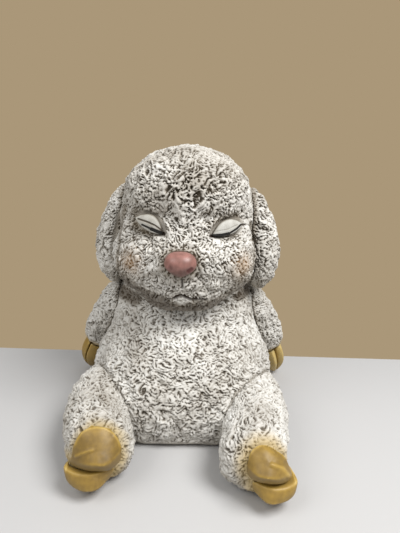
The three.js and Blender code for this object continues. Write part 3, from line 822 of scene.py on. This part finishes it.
@dataclass
class Nose:
    """The nose: a rounded triangle with two nostrils and a shallow groove down its middle."""

    node: str = "nose"
    width: float = 27.0
    height: float = 21.4
    depth: float = 22.0
    drop: float = 0.6  # below the middle of its solid
    squareness: float = 2.45  # of the upper edge, where 2 is round
    taper: float = 0.36  # share of its width that it loses at its lower point
    taper_curve: float = 2.0
    nostrils: tuple[tuple[PixelLine, float], ...] = (  # with the strength of each
        (PixelLine(((188.2, 271.2), (191.4, 269.2)), 1.9, 0.9), 1.0),
        (PixelLine(((169.8, 266.6), (171.4, 268.6)), 1.2, 1.2), 0.4),
    )
    nostril_depth: float = 0.7
    groove_depth: float = 0.7
    groove_width: float = 0.1
    groove_ink: float = 0.3
    groove_from: float = 0.1  # shares of the half height below the middle, between which the groove comes in
    groove_to: float = 0.5
    front_fade: float = 0.3  # share of the half depth over which the lines come in
    darkening_from: float = -0.2  # shares of the half height below the middle, between which the nose darkens
    darkening_to: float = 0.8
    fineness: int = 6
    finish: Finish = NOSE_ENAMEL

    def build(self) -> bpy.types.Object:
        """Makes and hands over the nose."""
        ball = bmesh.new()
        bmesh.ops.create_icosphere(ball, subdivisions=self.fineness, radius=1)
        piece = new_object("nose_painted", ball)
        mesh = piece.data
        x, y, z = positions(mesh).T
        slant = np.hypot(x, z) + NEARLY_ZERO
        power = np.where(z > 0, self.squareness, 2)
        fuller = (np.abs(x / slant) ** power + np.abs(z / slant) ** power) ** (-1 / power)
        wide = x * fuller * (1 - self.taper * np.clip(-z, 0, 1) ** self.taper_curve)
        high = z * fuller
        facing = ramp(-y, 0, self.front_fade)
        low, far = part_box(self.node)
        middle = np.array((low + far) / 2) / MM
        middle += (0, 0, -self.drop)
        middle[1] = low.y / MM + self.depth / 2
        place = middle + np.stack([wide * self.width, y * self.depth, high * self.height], axis=1) / 2
        nostril = sum(strength * line.share(place) for line, strength in self.nostrils) * facing
        groove = bell(x, self.groove_width) * ramp(-z, self.groove_from, self.groove_to) * facing
        place[:, 1] += self.nostril_depth * nostril + self.groove_depth * groove
        reposition(mesh, place)
        paint(mesh, Coat.INK_AND_SHADE, nostril + self.groove_ink * groove)
        # The nose darkens towards its lower point.
        paint(mesh, Coat.WASH_AND_SHADE, ramp(-z, self.darkening_from, self.darkening_to))
        hand_over(piece, self.node, self.finish)
        return piece


# Carved wool


@dataclass(frozen=True)
class Ripple:
    """An uneven swell without a way of its own: the sum of waves of nearly one length."""

    spacing: float
    seed: int
    waves: int = 40
    unevenness: float = 0.3  # share by which the spacing varies

    def at(self, points: Points) -> Points:
        """Gives the height at points in millimetres, with a spread of about 1."""
        dice = np.random.default_rng(self.seed)
        ways = dice.normal(size=(3, self.waves))
        ways /= np.linalg.norm(ways, axis=0)
        ways *= 2 * np.pi / self.spacing * (1 + self.unevenness * dice.normal(size=self.waves))
        starts = dice.uniform(0, 2 * np.pi, self.waves)
        return np.sqrt(2 / self.waves) * np.cos(points @ ways + starts).sum(axis=1)


GOLDEN = (1 + math.sqrt(5)) / 2
# The six axes of an icosahedron, which spread the ways of the strokes evenly.
AXES = [np.roll((0, side, GOLDEN), turn) for side in (1, -1) for turn in range(3)]
WAYS = np.array(AXES) / math.hypot(1, GOLDEN)
TUFTS = [Ripple(spacing=26.0, seed=40 + number) for number in range(len(WAYS))]
SWAY = [Ripple(spacing=13.0, seed=20 + axis) for axis in range(3)]
NICKS = Ripple(spacing=2.1, seed=30)
LOCKS = Ripple(spacing=10.0, seed=33)
SWELL = Ripple(spacing=34.0, seed=31)
PATCHES = Ripple(spacing=48.0, seed=32)


@dataclass(frozen=True)
class Strokes:
    """Short strokes of a modelling tool, which lie side by side in tufts."""

    spacing: float  # from one ridge to the next
    seed: int
    waves: int = 18  # for each way
    unevenness: float = 0.25  # share by which the spacing varies
    fanning: float = 0.5  # how much strokes side by side differ in their way

    def at(self, points: Points, shares: Points) -> Points:
        """Gives the height of the strokes.

        Args:
            points: Places in millimetres.
            shares: How much of each way the tuft at each place has.

        Returns:
            The height at each place, with a spread of about 1.
        """
        dice = np.random.default_rng(self.seed)
        height = np.zeros(len(points))
        for way, share in zip(WAYS, shares.T):
            turns = way[:, None] + self.fanning * dice.normal(size=(3, self.waves))
            turns *= 2 * np.pi / self.spacing * (1 + self.unevenness * dice.normal(size=self.waves))
            turns /= np.linalg.norm(way)
            starts = dice.uniform(0, 2 * np.pi, self.waves)
            height += share * np.cos(points @ turns + starts).sum(axis=1)
        return height * np.sqrt(2 / self.waves) / np.linalg.norm(shares, axis=1)


FINE_STROKES = Strokes(spacing=2.9, seed=11)
BODY_STROKES = Strokes(spacing=3.5, seed=12)
COARSE_STROKES = Strokes(spacing=4.8, seed=14)
OUTER_NODES = [
    *["torso", "head", "tail", "nose", "felt_base"],
    *[f"{side}_{piece}" for side in SIDES for piece in ("ear", "eyelid", "foreleg", "hind_leg")],
    *[f"{side}_fore_{place}_claw" for side in SIDES for place in ("outer", "inner")],
    *[f"{side}_hind_{place}_claw" for side in SIDES for place in ("upper", "lower")],
]


@dataclass
class WoolCasting:
    """A casting whose whole surface is carved as wool."""

    node: str
    cell: float = 0.7  # size of a mesh face
    depth: float = 2.2  # from a ridge to a pit
    rounding: int = 14
    hollow: bool = False
    wash_and_shade: float = 0.3
    sway: float = 1.6  # how far the strokes wander
    swell: float = 0.0  # unevenness of the form
    locks: float = 0.5  # height of the locks that the strokes lie on
    lean: float = 0.5  # how far a ridge hangs down, as a share of the depth
    level: tuple[Spot, ...] = ()  # where the strokes lie level
    tuft_edge: float = 1.6  # how sharply one tuft gives way to the next
    nicking: float = 0.35  # share of small nicks in the carving
    valley_from: float = 0.45  # depth, in spreads of the strokes, at which a ridge ends
    valley_to: float = 1.25  # and at which a pit is full
    crest_share: float = 0.45  # of the depth, above the surface
    pit_share: float = 0.7  # of the depth, below it
    smooth_tone: float = 0.66  # where nothing is carved
    mean_tone: float = 0.61
    stroke_tone: float = 0.1  # for each spread of the strokes
    pit_tone: float = 0.46
    top_light_paint: float = 0.3  # painted light from above: how much paler a face that looks up is
    contact: float = 0.4  # from a neighbour, where nothing is carved
    clearance: float = 3.0  # within which carving fades towards a neighbour
    crease: float = 5.0  # within which wash and painted shade gather by a neighbour
    crease_full: float = 0.3  # from a neighbour, where wash and painted shade are thickest
    crease_wash_and_shade: float = 0.55
    patch_grime: float = 0.1
    under_shade: float = 0.5  # painted shade on a face that looks down
    under_full: float = 0.8  # how far down a face looks where that painted shade is thickest
    spray_reach: float = 15.0  # of the hoof paint
    spray_full: float = 1.0  # from a claw, within which the paint covers
    spray_in_pits: float = 0.5  # share of the paint that a pit keeps
    spray_smoothing: float = 0.2
    most_faces: int = 190_000  # triangles
    inward: float = 0.3  # how far towards the middle a face of the inner wall looks
    step_off: float = 0.02  # from a face, before a ray is cast
    claws: tuple[str, ...] = ()
    fine: tuple[Spot, ...] = ()
    coarse: tuple[Spot, ...] = ()
    fineness: float = 0.0  # share of fine strokes all over
    creases: tuple[PixelLine, ...] = ()  # dark folds on the side of the photograph's camera
    crease_depth: float = 1.5
    fold_wash_and_shade: float = 0.9
    shades: tuple[PixelLine, ...] = ()  # broad bands of painted shade on the same side
    shade_band_strength: float = 1.1
    shade_band_darkest: float = 0.5  # how far the darkest painted shade covers
    bare: tuple[Pixel, ...] = ()  # a line beside which nothing is carved
    bare_width: float = 2.4
    bare_depth: float = 0.6
    bare_grime: float = 0.4
    finish: Finish = CARVED_WOOL

    def fill_hollow(self, solid: bmesh.types.BMesh) -> None:
        """Puts a core into a shell, so that only its outer skin is left when it gets even faces."""
        low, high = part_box(self.node)
        heart = (low + high) / 2
        tree = BVHTree.FromBMesh(solid)
        inner: dict[bmesh.types.BMVert, None] = {}  # keeps its order, unlike a set
        for face in solid.faces:
            middle = face.calc_center_median()
            away = (middle - heart).normalized()
            faces_heart = face.normal.dot(away) < -self.inward
            if faces_heart and tree.ray_cast(middle + away * self.step_off * MM, away)[0] is not None:
                inner.update(dict.fromkeys(face.verts))
        core = bmesh.new()
        for vert in inner:
            core.verts.new(vert.co)
        bmesh.ops.convex_hull(core, input=core.verts)
        loose = [vert for vert in core.verts if not vert.link_faces]
        bmesh.ops.delete(core, geom=loose, context="VERTS")
        mesh = bpy.data.meshes.new("core")
        core.to_mesh(mesh)
        core.free()
        solid.from_mesh(mesh)
        bpy.data.meshes.remove(mesh)

    def cast(self) -> bpy.types.Object:
        """Makes the smooth casting, with even faces."""
        solid = cad_solid(self.node)
        if self.hollow:
            self.fill_hollow(solid)
        piece = new_object(f"{self.node}_wool", solid)
        even_mesh(piece, self.cell, self.rounding)
        return piece

    def face(self) -> BVHTree:
        """Gives the surface on which the casting's spots are found."""
        return skin(self.node)

    def spread(self, points: Points, spots: Sequence[Spot]) -> Points:
        """Gives the strongest of several spots at points in millimetres, or 0."""
        shares = [spot.share(points, self.face()) for spot in spots]
        return np.max(shares, axis=0) if shares else np.zeros(len(points))

    def depth_at(self, points: Points) -> Points:
        """Gives the depth of the carving at points in millimetres."""
        return np.full(len(points), self.depth)

    def strokes(self, points: Points, outwards: Points) -> Points:
        """Gives the height of the strokes.

        Args:
            points: Places on the surface, in millimetres.
            outwards: The surface's normals there.

        Returns:
            The height at each place, with a spread of about 1.
        """
        swayed = points + self.sway * np.stack([each.at(points) for each in SWAY], axis=1)
        shares = np.exp(self.tuft_edge * np.stack([each.at(points) for each in TUFTS], axis=1))
        shares *= (1 - (outwards @ WAYS.T) ** 2) ** 2
        shares *= 1 + np.outer(self.spread(points, self.level), WAYS[:, 2] ** 2)
        coarse = self.spread(points, self.coarse)
        fine = np.clip(np.maximum(self.fineness, self.spread(points, self.fine)) - coarse, 0, 1)
        body = np.clip(1 - fine - coarse, 0, 1)
        blend = self.nicking * NICKS.at(points)
        for strokes, share in ((BODY_STROKES, body), (FINE_STROKES, fine), (COARSE_STROKES, coarse)):
            if share.any():
                blend += share * strokes.at(swayed, shares)
        return blend / np.sqrt(body**2 + fine**2 + coarse**2 + self.nicking**2)

    def sculpt(self, points: Points) -> tuple[Points, Points, Points]:
        """Models the forms that only this casting has.

        Args:
            points: The vertices, in millimetres.

        Returns:
            How far each vertex moves outwards in millimetres, the share of the carving that it keeps, and
            its extra wash, painted light and painted shade.
        """
        strip = np.zeros(len(points))
        if self.bare:
            line = np.array([VIEW.land(pixel, self.face()) for pixel in self.bare])
            strip = bell(line_distance(points, line), self.bare_width)
        return -self.bare_depth * strip, 1 - strip, self.bare_grime * strip

    def tint(self, mesh: bpy.types.Mesh, points: Points, ridge: Points) -> None:
        """Lays on the coats that only some castings have.

        Args:
            mesh: The casting's mesh.
            points: Its vertices before the carving, in millimetres.
            ridge: The tone of the carving.
        """
        if self.claws:
            kept = self.spray_in_pits + (1 - self.spray_in_pits) * ridge
            paint(mesh, Coat.SPRAY, self.sprayed(points) * kept)

    def dark_paint(self, points: Points) -> Points:
        """Gives how dark the lines drawn at points in millimetres are."""
        return np.zeros(len(points))

    def sprayed(self, points: Points) -> Points:
        """Gives how much of the hoof paint reaches points in millimetres."""
        if not self.claws:
            return np.zeros(len(points))
        gap = gap_to(skin(*self.claws), points, self.spray_reach)
        return 1 - ramp(gap, self.spray_full, self.spray_reach)

    def carve(self, piece: bpy.types.Object) -> None:
        """Carves the wool and lays on the coats of paint."""
        mesh = piece.data
        points = positions(mesh) / MM
        outwards = normals(mesh)
        neighbours = skin(*[node for node in OUTER_NODES if node != self.node])
        gap = gap_to(neighbours, points, self.crease)
        apart = ramp(gap, self.contact, self.clearance)
        form, kept, wash_light_and_shade = self.sculpt(points)
        kept = kept * (1 - self.spray_smoothing * self.sprayed(points))

        seen = outwards[:, 1] < 0
        # Folds are cut in and darkened with wash and painted shade.
        fold = on_lines(self.creases, points) * seen
        shade = on_lines(self.shades, points) * seen
        form = form - self.crease_depth * fold * apart
        wash_light_and_shade = wash_light_and_shade + self.fold_wash_and_shade * fold + self.shade_band_strength * shade
        strokes = self.strokes(points, outwards)
        pit = ramp(-strokes, self.valley_from, self.valley_to)
        crest = (1 + np.tanh(strokes)) / 2
        depth = self.depth_at(points) * kept * apart
        lift = depth * (self.crest_share * crest - self.pit_share * pit) + form
        lift += apart * (self.swell * SWELL.at(points) + self.locks * kept * LOCKS.at(points))
        downhill = outwards * outwards[:, 2:] - (0, 0, 1)
        moved = points + lift[:, None] * outwards + (self.lean * depth * crest)[:, None] * downhill
        moved[:, 2] = np.maximum(moved[:, 2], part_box(self.node)[0].z / MM)
        reposition(mesh, moved)

        # Faces that look up are painted paler, as painted light from above.
        looks_up = (normals(mesh) - outwards)[:, 2]
        ridge = self.mean_tone + self.stroke_tone * strokes - self.pit_tone * pit + self.top_light_paint * looks_up
        ridge = self.smooth_tone + kept * (ridge - self.smooth_tone)
        paint(mesh, Coat.CARVE_AND_LIGHT, ridge)
        # Near each neighbouring piece the wool gets wash and painted shade.
        by_neighbour = 1 - ramp(gap, self.crease_full, self.crease)
        patches = self.patch_grime * PATCHES.at(points)
        # Faces that look down get painted shade.
        under = self.under_shade * ramp(-outwards[:, 2], 0, self.under_full)
        paint(mesh, Coat.WASH_AND_SHADE, self.wash_and_shade + patches + under + self.crease_wash_and_shade * by_neighbour + wash_light_and_shade)
        # Drawn lines, and the darkest painted shade of the shade bands.
        paint(mesh, Coat.INK_AND_SHADE, self.dark_paint(points) + self.shade_band_darkest * shade)
        self.tint(mesh, points, ridge)

    def thin_out(self, piece: bpy.types.Object) -> None:
        """Merges the flattest faces of a dense casting."""
        triangles = 2 * len(piece.data.polygons)
        if triangles > self.most_faces:
            thin = piece.modifiers.new("thin_out", "DECIMATE")
            thin.ratio = self.most_faces / triangles
            bake_modifiers(piece)

    def build(self) -> bpy.types.Object:
        """Makes, carves and hands over the casting."""
        piece = self.cast()
        self.carve(piece)
        self.thin_out(piece)
        hand_over(piece, self.node, self.finish)
        return piece


@dataclass
class TorsoCasting(WoolCasting):
    """The torso, with the smooth narrow rim on which its belly stands and a chest painted paler, as painted
    light.
    """

    node: str = "torso"
    cell: float = 0.9
    hollow: bool = True
    level: tuple[Spot, ...] = (Spot((178, 412), 50.0, 5.0),)
    coarse: tuple[Spot, ...] = (Spot((178, 400), 42.0, 0.5),)
    rim_height: float = 2.0
    rim_blend: float = 4.0
    neck_reach: float = 8.0  # of the hollow under the jaw
    neck_depth: float = 2.0
    crease_wash_and_shade: float = 0.35
    clearance: float = 2.2
    # Painted light on the chest, which the head shades.
    chest: Spot = Spot((180, 322), 26.0)
    chest_light: float = -0.5

    def sculpt(self, points: Points) -> tuple[Points, Points, Points]:
        """Leaves the rim smooth, hollows the neck under the jaw and paints light on the chest."""
        over_foot = points[:, 2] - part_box(self.node)[0].z / MM
        neck = 1 - ramp(gap_to(skin("head"), points, self.neck_reach), 0, self.neck_reach)
        kept = ramp(over_foot, self.rim_height, self.rim_height + self.rim_blend)
        return -self.neck_depth * neck, kept, self.chest_light * self.chest.share(points, self.face())


@dataclass
class EarCasting(WoolCasting):
    """An ear, deeply carved, with dark wash and painted shade where it lies against the head."""

    depth: float = 2.6
    pit_tone: float = 0.55
    crease: float = 6.0
    crease_wash_and_shade: float = 0.9
    bare_depth: float = 1.0
    bare_grime: float = 0.6


@dataclass
class ForelegCasting(WoolCasting):
    """A foreleg, which props the body from behind."""

    swell: float = 0.5
    pit_tone: float = 0.5


@dataclass
class HindLegCasting(WoolCasting):
    """A hind leg, whose finer wool runs on into that of the torso."""

    depth: float = 1.9
    fineness: float = 0.3
    swell: float = 0.5
    crease_wash_and_shade: float = 0.3
    clearance: float = 2.2


@dataclass
class HeadCasting(WoolCasting):
    """The head, with its brow, cheeks, muzzle and mouth. Pixels are the photograph's."""

    node: str = "head"
    cell: float = 0.75
    wash_and_shade: float = 0.4
    crease: float = 9.0
    crease_wash_and_shade: float = 0.7
    under_shade: float = 0.4
    mean_tone: float = 0.65
    pit_tone: float = 0.74
    valley_from: float = 0.4
    valley_to: float = 1.0
    hollow: bool = True
    fineness: float = 0.5
    lids: tuple[Eyelid, ...] = ()
    brow: Spot = Spot((188, 190), 28.0)
    bridge: Spot = Spot((185, 232), 22.0)
    muzzle: Spot = Spot((183, 272), 34.0)
    lower_lip: Spot = Spot((182, 302), 6.0)
    cheeks: tuple[Spot, ...] = (Spot((130, 262), 11.0), Spot((244, 265), 11.0))
    mouth: tuple[PixelLine, ...] = (
        PixelLine(((182, 279), (182.4, 287)), 0.8, 1.1),
        PixelLine(((174, 297.8), (181.5, 294.8), (186, 297), (192, 298.8), (197, 299)), 1.4, 0.7),
        PixelLine(((165, 299.5), (174, 297.8)), 0.4, 0.8),
        PixelLine(((197, 299), (206, 298)), 0.9, 0.8),
    )
    mouth_depth: float = 2.0
    face_front: float = -30.0  # along Y, before which the lines are drawn
    lash_depth: float = 0.7
    lip_rise: float = 1.4
    lip_smoothing: float = 0.7
    lip_grime: float = -0.9
    blush_wear: float = 0.68  # share of the blush that a ridge loses
    socket_wash_and_shade: float = 0.25
    brow_grime: float = 0.42
    bridge_grime: float = -0.2
    brow_depth: float = 0.5  # shares by which the carving is deeper or shallower
    bridge_depth: float = -0.3

    def __post_init__(self) -> None:
        """Sets where the carving is fine and where it is coarse."""
        self.fine = (self.muzzle, self.bridge)
        self.coarse = (self.brow,)

    def face(self) -> BVHTree:
        """Gives the surface on which the face's spots and lines are found."""
        return skin(self.node, "nose", "left_eyelid", "right_eyelid")

    def drawn(self, points: Points, lines: Sequence[PixelLine]) -> Points:
        """Gives a share that is 1 on lines of the face and falls off beside them."""
        return np.max([line.share(points) for line in lines], axis=0) * (points[:, 1] < self.face_front)

    def lines(self, points: Points) -> tuple[Points, Points]:
        """Gives the shares of the mouth's lines and of the lash lines."""
        lashes = [line for lid in self.lids for line in lid.lash]
        return self.drawn(points, self.mouth), self.drawn(points, lashes)

    def depth_at(self, points: Points) -> Points:
        """Gives the depth of the carving, which is deep on the brow and shallow on the bridge."""
        forms = ((self.brow, self.brow_depth), (self.bridge, self.bridge_depth))
        return self.depth * (1 + sum(share * spot.share(points, self.face()) for spot, share in forms))

    def sculpt(self, points: Points) -> tuple[Points, Points, Points]:
        """Models the mouth, the lower lip and the eye sockets."""
        mouth, lash = self.lines(points)
        lip = self.lower_lip.share(points, self.face())
        form = self.lip_rise * lip - self.mouth_depth * mouth - self.lash_depth * lash
        kept = np.clip(1 - self.lip_smoothing * lip - mouth - lash, 0, 1)
        wash_light_and_shade = self.brow_grime * self.brow.share(points, self.face())
        wash_light_and_shade += self.bridge_grime * self.bridge.share(points, self.face()) + self.lip_grime * lip
        for lid in self.lids:
            back, near = lid.socket(points)
            form -= back
            kept *= 1 - near
            # The smooth socket gets wash and painted shade.
            wash_light_and_shade += self.socket_wash_and_shade * near
        return form, kept, wash_light_and_shade

    def dark_paint(self, points: Points) -> Points:
        """Draws the mouth and the lashes."""
        mouth, lash = self.lines(points)
        return mouth + lash

    def tint(self, mesh: bpy.types.Mesh, points: Points, ridge: Points) -> None:
        """Blushes the cheeks, mostly in the pits."""
        paint(mesh, Coat.BLUSH, self.spread(points, self.cheeks) * (1 - self.blush_wear * ridge))


# The studio


@dataclass
class Studio:
    """A plain pale floor before a plain backdrop colour, with soft light from above and the right."""

    floor_size: float = 3000.0
    floor_back: float = 104.0  # where it ends behind the statue
    floor_thickness: float = 18.0
    floor_colour: str = "#c5c4c3"
    floor_roughness: float = 0.8
    backdrop_colour: str = "#aa9779"
    sky_colour: str = "#f4f4f4"
    sky: float = 0.42
    aim: Vector = field(default_factory=lambda: Vector((0, 0, 120)))
    key_place: Vector = field(default_factory=lambda: Vector((420, -380, 820)))
    key_size: float = 500.0
    key_watts: float = 8.8
    fill_place: Vector = field(default_factory=lambda: Vector((-460, -420, 640)))
    fill_size: float = 500.0
    fill_watts: float = 2.2

    def floor(self) -> None:
        """Lays the floor."""
        slab = bmesh.new()
        bmesh.ops.create_cube(slab, size=1)
        size = Vector((self.floor_size, self.floor_size, self.floor_thickness)) * MM
        bmesh.ops.scale(slab, vec=size, verts=slab.verts)
        shift = Vector((0, self.floor_back - self.floor_size / 2, -self.floor_thickness / 2)) * MM
        bmesh.ops.translate(slab, vec=shift, verts=slab.verts)
        made = new_object("studio_floor", slab)
        matt = bpy.data.materials.new("matt_floor")
        matt.use_nodes = True
        shader = matt.node_tree.nodes["Principled BSDF"]
        shader.inputs["Base Color"].default_value = linear(self.floor_colour)
        shader.inputs["Roughness"].default_value = self.floor_roughness
        made.data.materials.append(matt)

    def lamp(self, name: str, place: Vector, size: float, watts: float) -> None:
        """Adds a soft lamp that looks at the statue."""
        light = bpy.data.lights.new(name, "AREA")
        light.shape = "DISK"
        light.size = size * MM
        light.energy = watts
        made = bpy.data.objects.new(name, light)
        made.location = place * MM
        made.rotation_euler = (self.aim - place).to_track_quat("-Z", "Y").to_euler()
        bpy.context.scene.collection.objects.link(made)

    def surroundings(self) -> None:
        """Lights the statue with a neutral sky, and shows the backdrop colour in its place."""
        world = bpy.data.worlds.new("soft_sky")
        world.use_nodes = True
        tree = world.node_tree
        path = add(tree, "ShaderNodeLightPath")
        shown = path.outputs["Is Camera Ray"]
        for ray in ("Is Glossy Ray", "Is Transmission Ray"):
            inputs = {0: shown, 1: path.outputs[ray]}
            shown = add(tree, "ShaderNodeMath", inputs, operation="MAXIMUM").outputs[0]
        sky = tree.nodes["Background"]
        sky.inputs["Color"].default_value = linear(self.sky_colour)
        sky.inputs["Strength"].default_value = self.sky
        backdrop = add(tree, "ShaderNodeBackground", {"Color": linear(self.backdrop_colour)})
        blend = add(tree, "ShaderNodeMixShader", {0: shown, 1: sky.outputs[0], 2: backdrop.outputs[0]})
        tree.links.new(blend.outputs[0], tree.nodes["World Output"].inputs["Surface"])
        bpy.context.scene.world = world

    def build(self) -> None:
        """Makes the set and its light."""
        self.floor()
        self.lamp("key_lamp", self.key_place, self.key_size, self.key_watts)
        self.lamp("fill_lamp", self.fill_place, self.fill_size, self.fill_watts)
        self.surroundings()
        bpy.context.scene.view_settings.view_transform = "Standard"


def dress_hidden_pieces() -> None:
    """Gives the CAD nodes that stay, which are mostly out of sight, their own materials."""
    for entry in frame["record"]["subparts"]:
        slot = Slot(entry["material_slot"])
        if slot not in HIDDEN_FINISHES:
            continue
        piece = frame["nodes"][entry["node"]]
        piece.data.materials.clear()
        piece.data.materials.append(HIDDEN_FINISHES[slot].material())
        LOG.info("%s keeps its solid", piece.name)


# Places read off the photograph, as columns and rows of pixels, and the wash and wear that it shows there,
# with some of its light and shade painted on as well

RIGHT_LID = Eyelid(
    "right",
    inner=(162.5, 233.5),
    outer=(136.5, 217.5),
    lash=(
        PixelLine(((142, 224.8), (150, 228.6), (162.5, 233.2)), 1.0, 0.3),
        PixelLine(((151, 229.2), (157, 231.6), (162, 233.2)), 1.8, 0.3),
    ),
    crease=PixelLine(((138, 218.9), (146.7, 221.8), (154.7, 225.4), (161.6, 230.4)), 0.8),
    above=10.5,
    below=4.0,
    # painted shade all over the right lid, on the side away from the key lamp
    shade=0.12,
)
LEFT_LID = Eyelid(
    "left",
    inner=(212, 235),
    outer=(241, 224),
    lash=(
        PixelLine(
            ((211.5, 235.6), (222, 234.9), (230, 233.2), (237, 228.8), (241, 224.8), (245, 224)), 1.0, 0.3
        ),
        PixelLine(((211.5, 235.8), (222, 235.2), (229, 233.7)), 1.5, 0.3),
    ),
    crease=PixelLine(((214.4, 231.8), (227, 229.8), (237.4, 225)), 0.5),
    above=9.6,
    below=4.8,
    crease_wash_and_shade=0.2,
    crease_depth=0.3,
)
EAR_STRIPS = {"left": (), "right": ((119, 212), (116.5, 228), (113.5, 245), (112, 258))}
EAR_FOLDS = (
    PixelLine(((125.5, 205), (121, 232), (117.5, 255), (119, 275), (124, 290)), 1.3, 1.2),
    PixelLine(((250.5, 222), (254, 243), (254.5, 260), (252.5, 275), (245, 290)), 1.3, 1.2),
)
# Bands of painted shade under the jaw and on the neck.
JAW_LINE = (
    *((121, 279), (131, 288), (144, 297), (158, 303.5), (174, 308)),
    *((190, 308.5), (205, 306), (220, 301.5), (235, 295.5), (247, 285)),
)
JAW_SHADES = (
    PixelLine(JAW_LINE, 5.0, 4.5),
    PixelLine(((126, 287), (138, 292), (150, 297.5), (160, 302)), 6.0, 3.5),
)
NECK_SHADES = (
    PixelLine(((115, 286), (136, 298)), 6.0, 4.0),
    PixelLine(((238, 296), (250, 286)), 4.0, 3.0),
)
EAR_TUFTS = {"left": Spot((264, 240), 60.0, 0.6), "right": Spot((104, 250), 50.0, 0.8)}
# Wash of each leg and ear by side, with painted light and shade: the right hind leg is painted darker, as
# shade on its side away from the key lamp, and the right foreleg and right ear paler, as painted light.
HIND_LEG_WASH_AND_SHADE = {"left": 0.2, "right": 0.45}
FORELEG_WASH_AND_LIGHT = {"left": 0.42, "right": 0.28}
EAR_WASH_AND_LIGHT = {"left": 0.42, "right": 0.32}
# Base tone of each claw; the left fore claws are painted paler, as painted light where they lie in shade.
PALE_CLAW = 1.05
CLAW_WEAR_AND_LIGHT = {
    "right_hind_upper_claw": 0.27,
    "right_hind_lower_claw": 0.36,
    "left_hind_upper_claw": 0.34,
    "left_hind_lower_claw": 0.42,
    "left_fore_outer_claw": PALE_CLAW,
    "left_fore_inner_claw": PALE_CLAW,
}
UPPER_CLAW_RIDGES = {
    "right_hind_upper_claw": (PixelLine(((76, 456), (83, 453.2), (92, 450.2)), 1.3, 1.3),),
    "left_hind_upper_claw": (PixelLine(((272, 465), (282, 468.5), (288, 475.5)), 1.9, 1.8),),
}
CLAW_OUTLINES = {
    "right_hind_upper_claw": (
        *((70.4, 462.9), (70, 458.6), (71.4, 451.4), (73.6, 444.3), (76.4, 437.9), (81.4, 431.4)),
        *((87.9, 427.6), (96.4, 426.1), (105, 427.1), (112.9, 431.4), (118.6, 438.6), (121.9, 447.1)),
        *((122.1, 454.3), (119.3, 461.4), (115, 467.1), (110.7, 470.7), (97.9, 471.4), (83.6, 469.9)),
        *((76.4, 466.9), (70.4, 462.9)),
    ),
    "right_hind_lower_claw": (
        *((66.4, 461.4), (64, 468.6), (64, 477.1), (66.4, 481.4), (72.1, 486.4), (79.3, 490.7)),
        *((87.9, 492.1), (96.4, 490.7), (102.9, 485.7), (108.6, 478)),
    ),
    "left_hind_upper_claw": (
        *((247.1, 472.1), (246.4, 463.6), (247.9, 456.4), (251.4, 450), (257.9, 445.3), (265, 444.7)),
        *((272.1, 447.1), (277.9, 451.4), (283.6, 455.7), (287.9, 462.1), (290, 469.3), (291.4, 475)),
        *((290.7, 479.3), (286.4, 482.9), (277.9, 484), (265, 483.3), (253.6, 480.7), (249.3, 477.9)),
        (247.1, 472.1),
    ),
    "left_hind_lower_claw": (
        *((251, 484), (252.9, 487.9), (256.4, 493.6), (262.1, 499.3), (266.4, 503.6), (272.1, 505)),
        *((279.3, 503.4), (287.9, 500.7), (293.6, 496.4), (297.1, 490.7), (297.6, 483.6), (295.5, 477)),
    ),
}


def main() -> None:
    """Builds the statue's pieces in order and sets up the picture."""
    logging.basicConfig(level=logging.INFO)
    VIEW.camera()
    dress_hidden_pieces()
    hooves = {"foreleg": ("fore_outer", "fore_inner"), "hind_leg": ("hind_upper", "hind_lower")}
    claws = {
        f"{side}_{leg}": tuple(f"{side}_{place}_claw" for place in places)
        for leg, places in hooves.items()
        for side in SIDES
    }
    for leg, nodes in claws.items():
        for node in nodes:
            wear_and_light = CLAW_WEAR_AND_LIGHT.get(node, Claw.wear_and_light)
            Claw(node, leg, UPPER_CLAW_RIDGES.get(node, ()), CLAW_OUTLINES.get(node, ()), wear_and_light=wear_and_light).build()
    lids = (RIGHT_LID, LEFT_LID)
    for lid in lids:
        lid.build()
    TorsoCasting(shades=NECK_SHADES).build()
    HeadCasting(lids=lids, creases=EAR_FOLDS, shades=JAW_SHADES).build()
    WoolCasting("tail").build()
    for side in SIDES:
        foreleg, hind_leg = f"{side}_foreleg", f"{side}_hind_leg"
        EarCasting(
            f"{side}_ear",
            wash_and_shade=EAR_WASH_AND_LIGHT[side],
            coarse=(EAR_TUFTS[side],),
            creases=EAR_FOLDS,
            bare=EAR_STRIPS[side],
        ).build()
        ForelegCasting(foreleg, wash_and_shade=FORELEG_WASH_AND_LIGHT[side], claws=claws[foreleg]).build()
        HindLegCasting(hind_leg, wash_and_shade=HIND_LEG_WASH_AND_SHADE[side], claws=claws[hind_leg]).build()
    Nose().build()
    Studio().build()


if __name__ == "__main__":
    main()
